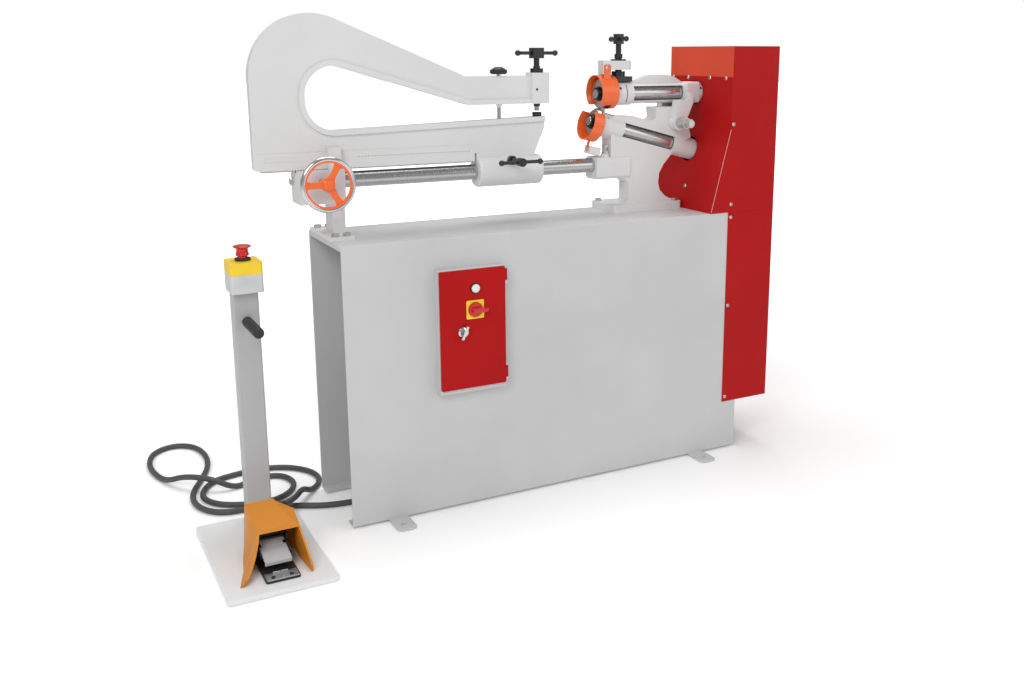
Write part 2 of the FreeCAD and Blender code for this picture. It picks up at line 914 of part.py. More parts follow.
def foot_bolt_places():
    left, right = s.foot_left + s.bolt_inset, s.foot_left + s.foot_long - s.bolt_inset
    front, back = s.foot_front + s.bolt_inset, s.foot_front + s.foot_deep - s.bolt_inset
    return [(left, back), (right, front), (right, back)]


def frame_bolt(name, x, y, seat, grip):
    head = hexagon(name + "_head", s.bolt_head, (x, y, seat), s.bolt_head_tall)
    shank = cylinder(name + "_shank", s.bolt_radius, (x, y, seat - grip), grip + 1)
    return fuse(name, head, shank)


def socket_bolt():
    # The set screw with its lock nut that holds the guide bar in its socket.
    x, y, seat = s.socket_bolt_left, s.socket_bolt_depth, socket_boss_top
    low = s.bar_level + s.bar_radius + s.side_gap
    stem = cylinder("socket_bolt_stem", s.bolt_radius, (x, y, low), seat + 20 - low)
    nut = hexagon("socket_bolt_nut", s.bolt_head, (x, y, seat), s.bolt_head_tall)
    head = hexagon("socket_bolt_head", s.bolt_head - 1, (x, y, seat + 17), s.bolt_head_tall)
    return fuse("socket_bolt", stem, nut, head)


def frame_bolts():
    pieces = []
    for index, (x, y) in enumerate(post_bolt_places(), 1):
        pieces.append(frame_bolt("post_bolt_%d" % index, x, y, cabinet_top + s.post_plate_thick,
                                 s.post_plate_thick))
    for index, (x, y) in enumerate(foot_bolt_places(), 1):
        pieces.append(frame_bolt("foot_bolt_%d" % index, x, y, foot_top, s.foot_tall))
    side_y = s.bar_depth + s.housing_deep / 2 - 14
    side_head = hexagon("side_bolt_head", s.bolt_head,
                        (s.housing_left - s.bolt_head_tall, side_y, s.bar_level),
                        s.bolt_head_tall, "x")
    side_shank = cylinder("side_bolt_shank", s.bolt_radius,
                          (s.housing_left - 1, side_y, s.bar_level), s.bolt_grip, "x")
    pieces.append(fuse("side_bolt", side_head, side_shank))
    pieces.append(socket_bolt())
    leg_face = s.bar_depth + s.bracket_pad_deep + s.bracket_leg_thick
    for index, (x, z) in enumerate(leg_screw_places(), 1):
        leg_head = hexagon("leg_bolt_head_%d" % index, s.bolt_head, (x, leg_face, z),
                           s.bolt_head_tall, "y")
        leg_shank = cylinder("leg_bolt_shank_%d" % index, s.bolt_radius,
                             (x, leg_face - s.bracket_leg_thick - s.bolt_grip, z),
                             s.bracket_leg_thick + s.bolt_grip + 1, "y")
        pieces.append(fuse("leg_bolt_%d" % index, leg_head, leg_shank))
    node(group("frame_bolts", pieces), "frame_bolts")


# Pinion, handwheel and rack

def tooth_half(offset):
    # Half of a tooth's thickness at a height above the pitch line.
    slope = math.tan(math.radians(number(s.pressure_angle)))
    return number(tooth_pitch) / 4 - number(s.backlash) / 4 - offset * slope


def pinion_outline():
    count = int(number(s.pinion_teeth))
    radius = number(pitch_radius)
    rise = number(s.tooth_module)
    drop = 1.25 * rise
    points = []
    for index in range(count):
        angle = 2 * math.pi * index / count
        for height, side in ((-drop, -1), (rise, -1), (rise, 1), (-drop, 1)):
            reach = radius + height
            across = side * tooth_half(height)
            points.append(Vector(reach * math.sin(angle) + across * math.cos(angle), 0,
                                 reach * math.cos(angle) - across * math.sin(angle)))
    return points


def extruded(points, start, length):
    # A closed polygon in x and z, drawn towards the back from y = start.
    wire = Part.makePolygon(points + points[:1])
    face = Part.Face(wire)
    face.translate(Vector(0, number(start), 0))
    return face.extrude(Vector(0, number(length), 0))


def pinion_shaft():
    y = s.bar_depth
    gear = extruded(pinion_outline(), y - s.pinion_wide / 2, s.pinion_wide)
    shaft_front = s.handwheel_front - 2
    shaft = Part.makeCylinder(number(s.shaft_radius), number(s.shaft_back - shaft_front),
                              vector(0, shaft_front, 0), Vector(0, 1, 0))
    shape_node("pinion_shaft", gear.fuse(shaft).removeSplitter(),
               FreeCAD.Placement(vector(s.wheel_left, 0, s.bar_level), Rotation()))


# Degrees from the right, the way the wheel stands at rest
SPOKE_ANGLES = (60, 180, 300)


def handwheel():
    x, y, z = s.wheel_left, s.handwheel_front, s.bar_level
    ring = s.handwheel_radius - s.rim_radius
    rim = doc.addObject("Part::Torus", "wheel_rim")
    rim.Placement = FreeCAD.Placement(Vector(), ALONG["y"])
    bind(rim, Radius1=ring, Radius2=s.rim_radius)
    place(rim, x, y + s.rim_radius + 2, z)
    hub = cylinder("wheel_hub", s.wheel_hub_radius, (x, y, z), s.handwheel_deep, "y")
    bore = cylinder("wheel_bore", s.shaft_radius + s.press_gap, (x, y - 1, z),
                    s.handwheel_deep + 2, "y")
    pieces = [rim, hub]
    for index, angle in enumerate(SPOKE_ANGLES, 1):
        spoke = doc.addObject("Part::Box", "wheel_spoke_%d" % index)
        bind(spoke, Length=ring, Width=s.spoke_thick, Height=s.spoke_wide)
        turn = Rotation(Vector(0, 1, 0), -angle)
        spoke.Placement = FreeCAD.Placement(Vector(), turn)
        radians = math.radians(angle)
        place(spoke, x + s.spoke_wide / 2 * math.sin(radians), y + s.rim_radius - 2,
              z - s.spoke_wide / 2 * math.cos(radians))
        pieces.append(spoke)
    node(cut("handwheel", fuse("wheel_whole", *pieces), bore), "handwheel")


def rack():
    pitch = number(tooth_pitch)
    left = number(s.rack_left)
    right = number(s.rack_right)
    middle = number(s.wheel_left)
    level = number(pitch_level)
    tip = number(rack_low)
    root = level + 1.25 * number(s.tooth_module)
    top = number(s.rack_top)
    half_tip = tooth_half(level - tip)
    half_root = tooth_half(level - root)
    first = math.ceil((left + half_root - middle) / pitch - 0.5)
    last = math.floor((right - half_root - middle) / pitch - 0.5)
    points = [Vector(left, 0, top), Vector(left, 0, root)]
    for index in range(first, last + 1):
        tooth = middle + (index + 0.5) * pitch
        points += [Vector(tooth - half_root, 0, root), Vector(tooth - half_tip, 0, tip),
                   Vector(tooth + half_tip, 0, tip), Vector(tooth + half_root, 0, root)]
    points += [Vector(right, 0, root), Vector(right, 0, top)]
    shape_node("rack", extruded(points, s.bar_depth - s.web_thick / 2, s.web_thick))


# Guide bar and the carriage on it

bar_end = s.column_left - 3


def guide_bar():
    chamfer = 2
    length = bar_end - s.bar_start
    profile = [(0, 0), (0, s.bar_radius - chamfer), (chamfer, s.bar_radius),
               (length - chamfer, s.bar_radius), (length, s.bar_radius - chamfer), (length, 0)]
    bar = turned("guide_bar", profile)
    node(place(bar, s.bar_start, s.bar_depth, s.bar_level), "guide_bar")


def bed_at(x):
    # The throat's lower edge at a place along the bar.
    return s.bed_level + (x - s.frame_right) * tangent(s.bed_slope)


def brow_at(x):
    # The throat's upper edge left of its knee.
    return s.arm_low + (s.throat_knee - x) * tangent(s.throat_slope)


def throat_outline(grow, slope_grow):
    left = s.throat_left - grow
    right = s.frame_right + 60
    return [(left, bed_at(left) - slope_grow), (right, bed_at(right) - slope_grow),
            (right, s.arm_low + grow), (s.throat_knee, s.arm_low + grow),
            (left, brow_at(left) + slope_grow)]


def c_frame():
    y = s.bar_depth
    nose_right = s.frame_right - s.nose_back
    crown_top = s.arm_top + (s.knee_left - s.frame_left) * tangent(s.crown_slope)
    nose_low = bed_at(s.frame_right) - s.nose_tall
    outline = [(s.frame_left, s.frame_low), (s.frame_left, crown_top), (s.knee_left, s.arm_top),
               (nose_right, s.arm_top), (nose_right, nose_low),
               (nose_right - s.nose_cut, s.frame_low)]
    web_start = y - s.web_thick / 2
    web = rounded("web_soft", plate("web", outline, web_start, s.web_thick), s.crown_round,
                  lambda middle, way: near(middle.x, s.frame_left) and near(middle.z, crown_top)
                  and crosswise(way))
    web = rounded("web_edge", web, 8,
                  lambda middle, way: near(middle.x, s.frame_left)
                  and near(middle.z, s.frame_low) and crosswise(way))
    band_start = y - s.band_thick / 2
    band_shape = plate("band", throat_outline(s.band_wide, s.band_wide), band_start,
                       s.band_thick)
    band_round = s.throat_round + s.band_wide
    band = rounded("band_soft", band_shape, band_round,
                   lambda middle, way: near(middle.x, s.throat_left - s.band_wide)
                   and crosswise(way))
    trim = plate("band_trim", outline, band_start - 1, s.band_thick + 2)
    band_in = common("band_in", band, trim)
    throat_shape = plate("throat", throat_outline(0, 0), band_start - 2, s.band_thick + 4)
    throat = rounded("throat_soft", throat_shape, s.throat_round,
                     lambda middle, way: near(middle.x, s.throat_left) and crosswise(way))
    boss_raw = box("arm_boss", (s.frame_right - s.boss_wide, y - s.boss_thick / 2, s.arm_low),
                   (s.frame_right, y + s.boss_thick / 2, boss_top))
    boss = rounded("arm_boss_soft", boss_raw, 5, lambda middle, way: upright(way))
    hub = cylinder("hub", s.hub_radius, (s.hub_left, y, s.bar_level), s.hub_right - s.hub_left,
                   "x")
    hub_soft = rounded("hub_soft", hub, 6, lambda middle, way: near(
        (middle - vector(middle.x, y, s.bar_level)).Length, s.hub_radius)
        and (near(middle.x, s.hub_left) or near(middle.x, s.hub_right)))
    lock_boss = cylinder("lock_boss", s.lock_boss_radius,
                         (s.lock_left, s.lock_front, s.bar_level + s.lock_rise),
                         y - s.lock_front, "y")
    nut_cone = cone("strut_cone", s.cone_radius - 3, s.cone_radius,
                    (s.strut_left, y, s.arm_low - s.cone_tall), s.cone_tall + 1)
    block = fuse("frame_block", web, band_in, boss, hub_soft, lock_boss)
    open_frame = cut("frame_open", block, throat)
    bar_hole = cylinder("hub_bore", s.bar_radius + s.run_gap, (s.hub_left - 1, y, s.bar_level),
                        s.hub_right - s.hub_left + 2, "x")
    bar_way = box("bar_way", (s.rack_right, y - s.hub_radius, s.bar_level - s.hub_radius),
                  (s.hub_left, y + s.hub_radius, s.rack_top))
    rack_seat = box("rack_seat", (s.rack_left, y - s.web_thick, s.frame_low - 10),
                    (s.rack_right, y + s.web_thick, s.rack_top))
    clamp_hole = cylinder("clamp_hole", s.nut_sleeve_radius + s.press_gap,
                          (clamp_left, y, s.arm_low - 1), boss_top - s.arm_low + 2)
    strut_hole = cylinder("strut_hole", s.strut_radius + s.run_gap,
                          (s.strut_left, y, s.arm_low - s.cone_tall - 1),
                          s.arm_top - s.arm_low + s.cone_tall + 2)
    lock_hole = cylinder("lock_hole", s.lock_screw_radius + s.run_gap,
                         (s.lock_left, s.lock_front - 1, s.bar_level + s.lock_rise),
                         y - s.lock_front - 5, "y")
    anvil_hole = cylinder("anvil_hole", s.spigot_radius * 2 + s.press_gap,
                          (clamp_left, y, bed_at(clamp_left) - 14), 20)
    frame = fuse("frame_full", open_frame, nut_cone)
    node(cut("c_frame", frame, bar_hole, bar_way, rack_seat, clamp_hole, strut_hole, lock_hole,
             anvil_hole), "c_frame")


# Clamp at the end of the carriage arm

def handle_bar(name, x, y, z, turn=0):
    # A cross bar with a ball at each end, centred on its screw head.
    half = s.handle_long / 2
    bar = cylinder(name + "_rod", s.handle_radius, (-half + s.ball_radius, 0, 0),
                   s.handle_long - s.ball_radius * 2, "x")
    ends = [ball(name + "_ball_%d" % index, s.ball_radius,
                 (side * (half - s.ball_radius), 0, 0), side)
            for index, side in enumerate((-1, 1), 1)]
    whole = fuse(name, bar, *ends)
    whole.Placement = FreeCAD.Placement(Vector(), Rotation(Vector(0, 0, 1), number(turn)))
    whole.setExpression("Placement.Rotation.Angle", as_size(turn).formula)
    return node(place(whole, x, y, z), name)


bed_under_clamp = bed_at(clamp_left)
anvil_low = bed_under_clamp + 0.5
anvil_top = anvil_low + s.anvil_tall
pad_low = anvil_top + s.grip_gap
screw_low = pad_low + s.pad_tall


def clamp():
    x, y = clamp_left, s.bar_depth
    head_low, head_top = s.clamp_head_low, s.clamp_head_low + s.clamp_head_tall
    bar_level = head_low + s.clamp_head_tall / 2
    half = s.clamp_head_wide / 2
    head = box("clamp_head", (x - half, y - half * 0.8, head_low),
               (x + half, y + half * 0.8, head_top))
    neck = cylinder("clamp_neck", s.clamp_neck_radius, (x, y, boss_top), head_low - boss_top + 1)
    shank = cylinder("clamp_shank", s.clamp_screw_radius, (x, y, screw_low),
                     boss_top + s.nut_flange_tall + 6 - screw_low)
    socket = cylinder("clamp_socket", s.spigot_radius + s.run_gap, (x, y, screw_low - 1), 8)
    cross = cylinder("clamp_cross", s.handle_radius + s.run_gap, (x - half - 1, y, bar_level),
                     s.clamp_head_wide + 2, "x")
    node(cut("clamp_screw", fuse("clamp_screw_body", head, neck, shank), socket, cross),
         "clamp_screw")
    handle_bar("clamp_bar", x, y, bar_level)

    flange = cylinder("clamp_nut_flange", s.nut_flange_radius, (x, y, boss_top),
                      s.nut_flange_tall)
    sleeve = cylinder("clamp_nut_sleeve", s.nut_sleeve_radius, (x, y, s.arm_low),
                      boss_top - s.arm_low + 1)
    thread = cylinder("clamp_nut_thread", s.clamp_screw_radius + s.run_gap,
                      (x, y, s.arm_low - 1), boss_top - s.arm_low + s.nut_flange_tall + 2)
    node(cut("clamp_nut", fuse("clamp_nut_body", flange, sleeve), thread), "clamp_nut")

    pad = cylinder("clamp_pad_disc", s.pad_radius, (x, y, pad_low),
                   s.pad_tall - s.side_gap)
    spigot = cylinder("clamp_pad_spigot", s.spigot_radius, (x, y, pad_low + 2), s.pad_tall + 4)
    node(fuse("clamp_pad", pad, spigot), "clamp_pad")

    disc = cylinder("anvil_disc", s.anvil_radius, (x, y, anvil_low), s.anvil_tall)
    peg = cylinder("anvil_peg", s.spigot_radius * 2, (x, y, anvil_low - 13), 14)
    node(fuse("anvil", disc, peg), "anvil")


def strut():
    x, y = s.strut_left, s.bar_depth
    foot = bed_at(x) + 0.3
    knob_low = s.arm_top + s.strut_rise
    rod = cylinder("strut_screw", s.strut_radius, (x, y, foot), knob_low + 8 - foot)
    node(rod, "strut_screw")
    disc = cylinder("knob_disc_body", s.knob_radius - 5, (x, y, knob_low), s.knob_tall - 6)
    cap = cone("knob_cap", s.knob_radius - 5, s.knob_radius - 15,
               (x, y, knob_low + s.knob_tall - 6), 6)
    lobes = []
    count = int(number(s.knob_lobes))
    for index in range(count):
        angle = 2 * math.pi * index / count
        reach = s.knob_radius - 6
        lobes.append(cylinder("knob_lobe_%d" % index, 6,
                              (x + reach * math.cos(angle), y + reach * math.sin(angle),
                               knob_low + 2), s.knob_tall - 9))
    bore = cylinder("knob_bore", s.strut_radius + s.run_gap, (x, y, knob_low - 1), 9 + s.run_gap)
    node(cut("strut_knob", fuse("knob_whole", disc, cap, *lobes), bore), "strut_knob")


def hub_lock():
    x, z = s.lock_left, s.bar_level + s.lock_rise
    front = s.lock_bar_front - s.lock_head_radius
    shank = cylinder("lock_shank", s.lock_screw_radius, (x, s.lock_bar_front, z),
                     s.bar_depth - s.lock_bar_front - 8, "y")
    head = cylinder("lock_head", s.lock_head_radius, (x, front, z), s.lock_head_radius * 2, "y")
    collar = hexagon("lock_collar", s.lock_head_radius + 2, (x, s.lock_front - 14, z), 11, "y")
    half = s.handle_long / 2
    rod = cylinder("lock_rod", s.handle_radius, (x - half + s.ball_radius, s.lock_bar_front, z),
                   s.handle_long - s.ball_radius * 2, "x")
    ends = [ball("lock_ball_%d" % index, s.ball_radius,
                 (x + side * (half - s.ball_radius), s.lock_bar_front, z), side)
            for index, side in enumerate((-1, 1), 1)]
    node(fuse("hub_lock", shank, head, collar, rod, *ends), "hub_lock")


# Head frame

def column_outline():
    # The casting between the foot and the arm, seen from the front.
    left, right = s.column_left, s.column_right
    barrel_back = lower_at(s.lower_window_end + 14)
    low, round_in = foot_top - 6, s.column_round
    return [(left - round_in, low), (right + 46, low), (right + 46, foot_top + 4),
            (right + 24, foot_top + 16), (right + 6, foot_top + 34), (right, foot_top + 56),
            (right + 3, foot_top + 82), (right + 17, foot_top + 106),
            (barrel_back[0], barrel_back[2]), (s.pivot_left + 58, s.neck_low - 50),
            (s.pivot_left + 44, s.neck_low), (s.pivot_left + 44, s.neck_top + 4),
            (s.neck_left, s.neck_top + 4), (s.neck_left + 4, s.neck_low + 10),
            (s.neck_left - 10, s.neck_low + 1), (s.neck_left - 30, s.neck_low + 5),
            (left + 17, s.neck_low + 15), (left - 52, s.neck_low + 17),
            (left - 58, s.neck_low - 30), (left - 58, s.socket_low + 4),
            (left - round_in, s.socket_low + 4),
            (left, s.socket_low - 14), (left, foot_top + round_in - 4),
            (left - 6, foot_top + 6)]


def head_frame():
    y = s.bar_depth
    foot_raw = box("head_foot", (s.foot_left, s.foot_front, cabinet_top),
                   (s.foot_left + s.foot_long, s.foot_front + s.foot_deep, foot_top))
    foot = rounded("head_foot_soft", foot_raw, 12, lambda middle, way: upright(way))
    column = plate("column", column_outline(), y - s.column_thick / 2, s.column_thick)
    socket = box("socket", (s.socket_left, y - s.socket_wide / 2, s.socket_low),
                 (s.column_left + 2, y + s.socket_wide / 2, socket_top))
    socket_soft = rounded("socket_soft", socket, 10, lambda middle, way: abs(way.x) > 0.99)
    front_boss = lower_cylinder("lower_front_boss", s.lower_front_radius, s.lower_front,
                                s.lower_window)
    barrel = lower_cylinder("lower_barrel", s.lower_back_radius, s.lower_window - 5,
                            s.lower_back)
    bolt_boss = cylinder("socket_boss", s.bolt_head + 2, (s.socket_bolt_left, s.socket_bolt_depth,
                                                       socket_top - 2),
                         socket_boss_top - socket_top + 2)
    bracket_pad = box("bracket_pad", (s.bracket_leg_left, y, s.bracket_leg_low),
                      (s.bracket_leg_left + s.bracket_leg_wide, y + s.bracket_pad_deep,
                       s.bracket_leg_low + s.bracket_pad_tall))
    nose = tilted_box("guard_nose", s.lower_tab_place + s.guard_sheet, s.lower_tab_place + 36,
                      y - 15, y + 15, s.lower_screw_reach - 10, s.lower_screw_reach + 12)
    whole = fuse("head_whole", foot, column, socket_soft, front_boss, barrel, bolt_boss,
                 bracket_pad, nose)
    bores = [
        lower_cylinder("lower_trough", s.trough_bore, s.lower_front - 60, s.lower_back + 60),
        lower_cylinder("lower_front_seat", s.bush_radius + s.press_gap, s.lower_front - 60,
                       s.lower_window - 6),
        lower_cylinder("lower_back_seat", s.bush_radius + s.press_gap,
                       s.lower_window_end + 14, s.lower_back + 60),
        lower_cylinder("lower_front_room", s.lower_guard_radius + 1, s.lower_front - 60,
                       s.lower_front),
        tilted_rod("nose_screw_hole", s.panel_screw_shank + s.press_gap, s.lower_tab_place,
                   s.lower_tab_place + 20, s.lower_screw_reach),
    ]
    window = tilted_box("lower_window_box", s.lower_window, s.lower_window_end, y - 60, y,
                        -s.window_half, s.window_half)
    bar_hole = cylinder("socket_bore", s.bar_radius + s.press_gap,
                        (s.socket_left - 40, y, s.bar_level), bar_end - s.socket_left + 40, "x")
    stem_hole = cylinder("socket_stem_hole", s.bolt_radius + s.run_gap,
                         (s.socket_bolt_left, s.socket_bolt_depth, s.bar_level),
                         socket_boss_top - s.bar_level + 1)
    pivot = cylinder("pivot_bore", s.pivot_radius + s.press_gap,
                     (s.pivot_left, y - s.column_thick, s.pivot_level), s.column_thick * 2, "y")
    leg_holes = [cylinder("leg_screw_hole_%d" % index, s.bolt_radius + s.press_gap,
                          (x, y, z), s.bracket_pad_deep + 1, "y")
                 for index, (x, z) in enumerate(leg_screw_places(), 1)]
    arm_room = box("arm_room", (s.neck_left - 30, y - s.column_thick, s.neck_top - 6),
                   (s.pivot_left + 90, y + s.column_thick, s.neck_top + 60))
    bolt_holes = [cylinder("foot_bolt_hole_%d" % index, s.bolt_radius + s.bolt_gap,
                           (x, depth, cabinet_top - 1), s.foot_tall + 2)
                  for index, (x, depth) in enumerate(foot_bolt_places(), 1)]
    node(cut("head_frame", whole, window, bar_hole, stem_hole, pivot, arm_room,
             *(bores + leg_holes + bolt_holes)), "head_frame")


def leg_screw_places():
    middle = s.bracket_leg_left + s.bracket_leg_wide / 2
    return [(middle, s.bracket_leg_low + level) for level in (11, 29)]


def screw_bracket():
    y = s.bar_depth
    top = s.bracket_low + s.bracket_tall
    back = s.bracket_front + s.bracket_deep
    face = y + s.bracket_pad_deep
    left, right, front = s.bracket_left, s.bracket_right, s.bracket_front
    lug = slab("bracket_lug", [(left, front), (right, front), (right, back - 24),
                               (right - 24, back), (s.bracket_leg_left, back)],
               s.bracket_low, s.bracket_tall)
    soft = rounded("bracket_soft", lug, 14, lambda middle, way: upright(way)
                   and near(middle.x, s.bracket_right) and near(middle.y, s.bracket_front))
    apron = slab("bracket_apron", [(left, front), (left + s.bracket_leg_wide, front),
                                   (s.bracket_leg_left + s.bracket_leg_wide, back),
                                   (s.bracket_leg_left, back)],
                 s.bracket_low - s.bracket_apron, s.bracket_apron + 1)
    leg = box("bracket_leg", (s.bracket_leg_left, face, s.bracket_leg_low),
              (s.bracket_leg_left + s.bracket_leg_wide, face + s.bracket_leg_thick, top - 1))
    hole = cylinder("bracket_hole", s.clamp_screw_radius + 5 + s.press_gap,
                    (s.screw_left, y, s.bracket_low - 1), s.bracket_tall + 2)
    guard_hole = cylinder("bracket_guard_hole", s.panel_screw_shank + s.press_gap,
                          (upper_tab_middle, s.bracket_front - 1, s.guard_screw_level), 10, "y")
    leg_holes = [cylinder("bracket_leg_hole_%d" % index, s.bolt_radius + s.bolt_gap,
                          (x, face - 1, z), s.bracket_leg_thick + 2, "y")
                 for index, (x, z) in enumerate(leg_screw_places(), 1)]
    node(cut("screw_bracket", fuse("bracket_whole", soft, apron, leg), hole, guard_hole, *leg_holes),
         "screw_bracket")


# Upper arm

def hump_outline():
    low = s.upper_level + s.arm_back_radius - 8
    top = low + 8 + s.hump_rise
    middle = (s.hump_left + s.hump_right) / 2 + 13
    return [(s.hump_left, low), (s.hump_right + 6, low), (middle + s.hump_flat / 2, top),
            (middle - s.hump_flat / 2, top)]


def upper_arm():
    y, z = s.bar_depth, s.upper_level
    front = cylinder("arm_front_boss", s.arm_front_radius, (s.arm_front, y, z),
                     s.arm_window - s.arm_front, "x")
    barrel = cylinder("arm_barrel", s.arm_back_radius, (s.arm_window - 2, y, z),
                      s.arm_back - s.arm_window + 2, "x")
    hump_raw = plate("arm_hump", hump_outline(), y - s.hump_thick / 2, s.hump_thick)
    hump_top = z + s.arm_back_radius + s.hump_rise
    hump = rounded("arm_hump_soft", hump_raw, s.hump_round,
                   lambda middle, way: near(middle.z, hump_top) and crosswise(way))
    pieces = [front, barrel, hump]
    web_half = s.column_thick / 2 + s.side_gap
    lug_starts = (y - web_half - s.lug_thick, y + web_half)
    for index, start in enumerate(lug_starts, 1):
        outline = [(s.pivot_left - s.lug_radius + 2, s.pivot_level),
                   (s.pivot_left + s.lug_radius - 2, s.pivot_level),
                   (s.lug_right, s.neck_top + 4), (s.lug_right, s.upper_level),
                   (s.lug_left, s.upper_level), (s.lug_left, s.neck_top + 4)]
        pieces.append(plate("arm_lug_%d" % index, outline, start, s.lug_thick))
        pieces.append(cylinder("arm_lug_end_%d" % index, s.lug_radius,
                               (s.pivot_left, start, s.pivot_level), s.lug_thick, "y"))
    whole = fuse("arm_whole", *pieces)
    web_room = box("arm_web_room", (s.neck_left - 40, y - web_half, s.pivot_level - 40),
                   (s.lug_right + 20, y + web_half, s.neck_top))
    tools = [
        web_room,
        cylinder("arm_trough", s.trough_bore, (s.arm_front - 1, y, z),
                 s.arm_back - s.arm_front + 2, "x"),
        cylinder("arm_front_seat", s.bush_radius + s.press_gap, (s.arm_front - 1, y, z),
                 s.arm_window - s.arm_front - 5, "x"),
        cylinder("arm_back_seat", s.bush_radius + s.press_gap, (s.arm_window_end + 14, y, z),
                 s.arm_back - s.arm_window_end - 13, "x"),
        box("arm_window_box", (s.arm_window, y - 60, z - s.window_half),
            (s.arm_window_end, y, z + s.window_half)),
        cylinder("arm_pivot_bore", s.pivot_radius + s.run_gap,
                 (s.pivot_left, y - 80, s.pivot_level), 160, "y"),
    ]
    node(cut("upper_arm", whole, *tools), "upper_arm")


def pivot_bolt():
    y = s.bar_depth
    web_half = s.column_thick / 2 + s.side_gap
    front = y - web_half - s.lug_thick - s.side_gap
    back = y + web_half + s.lug_thick + s.side_gap
    spacer_front = front - s.spacer_long
    x, z = s.pivot_left, s.pivot_level
    shank = cylinder("pivot_shank", s.pivot_radius, (x, spacer_front - 22, z),
                     back + 1 - spacer_front + 22, "y")
    spacer = cylinder("pivot_spacer", s.spacer_radius, (x, spacer_front, z), s.spacer_long, "y")
    nut = hexagon("pivot_nut", s.spacer_radius - 1, (x, spacer_front - 15, z), 15, "y")
    head = hexagon("pivot_head", s.spacer_radius, (x, back, z), 10, "y")
    node(fuse("pivot_bolt", shank, spacer, nut, head), "pivot_bolt")


# Spindles, cutters and their nuts

def bush(name, start, end, lower=False):
    outer, inner = s.bush_radius, s.spindle_radius + s.run_gap
    if lower:
        return cut(name, lower_cylinder(name + "_outer", outer, start, end),
                   lower_cylinder(name + "_inner", inner, start - 1, end + 1))
    at = (start, s.bar_depth, s.upper_level)
    past = (start - 1, s.bar_depth, s.upper_level)
    return cut(name, cylinder(name + "_outer", outer, at, end - start, "x"),
               cylinder(name + "_inner", inner, past, end - start + 2, "x"))


def upper_bushes():
    pieces = [bush("upper_bush_front", s.arm_front, s.arm_window - 7),
              bush("upper_bush_back", s.arm_window_end + 15, s.arm_back)]
    node(group("upper_bushes", pieces), "upper_bushes")


def lower_bushes():
    pieces = [bush("lower_bush_front", s.lower_front, s.lower_window - 7, lower=True),
              bush("lower_bush_back", s.lower_window_end + 15, s.lower_back, lower=True)]
    node(group("lower_bushes", pieces), "lower_bushes")


def spindle_profile(front_end, seat_end, collar_end, seat_back, end):
    # Threaded nose, cutter seat, collar, shaft and the narrower end that carries the drive.
    return [(front_end, 0), (front_end, s.seat_radius - 1), (front_end + 1, s.seat_radius),
            (seat_end, s.seat_radius), (seat_end, s.collar_radius),
            (collar_end, s.collar_radius), (collar_end, s.spindle_radius),
            (seat_back, s.spindle_radius), (seat_back, s.gear_bore), (end, s.gear_bore),
            (end, 0)]


gear_along = s.gear_distance - s.gear_face / 2
upper_gear_left = apex_left + gear_along
nose_out = s.nut_thick + s.washer_thick + 3


def upper_spindle():
    seat_end = s.cut_plane + s.cutter_thick
    profile = spindle_profile(s.cut_plane - nose_out, seat_end, s.arm_front - s.side_gap,
                              upper_gear_left, s.pulley_left + s.pulley_wide)
    spindle = turned("upper_spindle", profile)
    node(place(spindle, 0, s.bar_depth, s.upper_level), "upper_spindle")


def lower_spindle():
    back_gear = gear_along - lower_gear_along
    profile = spindle_profile(-s.cutter_thick - nose_out, as_size(0), s.lower_front - s.side_gap,
                              back_gear, back_gear + s.gear_face + 6)
    spindle = turned("lower_spindle", profile)
    tilt(spindle, s.lower_tilt)
    node(place(spindle, lower_axis_left, s.bar_depth, lower_axis_level), "lower_spindle")


def cutter_profile(start, sign):
    # A disc with a hollow ground face and a bevelled back.
    far = start + sign * s.cutter_thick
    hole = s.seat_radius + s.press_gap
    return [(start, hole), (start, s.cutter_radius - 0.5),
            (start + sign * 1, s.cutter_radius),
            (start + sign * 4, s.cutter_radius),
            (far, s.cutter_radius - s.cutter_bevel * 2), (far, hole)]


def nut_and_washer(name, back):
    # The washer lies on the cutter, the nut on the washer; two pin holes in the nut's face.
    washer = cylinder(name + "_washer", s.washer_radius, (back - s.washer_thick, 0, 0),
                      s.washer_thick, "x")
    nut = cylinder(name + "_nut", s.nut_radius, (back - s.washer_thick - s.nut_thick, 0, 0),
                   s.nut_thick + 1, "x")
    bore = cylinder(name + "_bore", s.seat_radius + s.press_gap, (back - 40, 0, 0), 60, "x")
    pins = [cylinder(name + "_pin_%d" % index, 1.8,
                     (back - s.washer_thick - s.nut_thick - 1, 0, side * 14.2), 5, "x")
            for index, side in enumerate((-1, 1), 1)]
    return cut(name, fuse(name + "_body", washer, nut), bore, *pins)


def cutters():
    upper = turned("upper_cutter", cutter_profile(as_size(0), 1))
    node(place(upper, s.cut_plane, s.bar_depth, s.upper_level), "upper_cutter")
    nut = nut_and_washer("upper_cutter_nut", as_size(0))
    node(place(nut, s.cut_plane, s.bar_depth, s.upper_level), "upper_cutter_nut")
    lower = turned("lower_cutter", cutter_profile(as_size(0), -1))
    tilt(lower, s.lower_tilt)
    node(place(lower, lower_axis_left, s.bar_depth, lower_axis_level), "lower_cutter")
    low_nut = nut_and_washer("lower_cutter_nut", -s.cutter_thick)
    tilt(low_nut, s.lower_tilt)
    node(place(low_nut, lower_axis_left, s.bar_depth, lower_axis_level), "lower_cutter_nut")


# Guards round the cutters

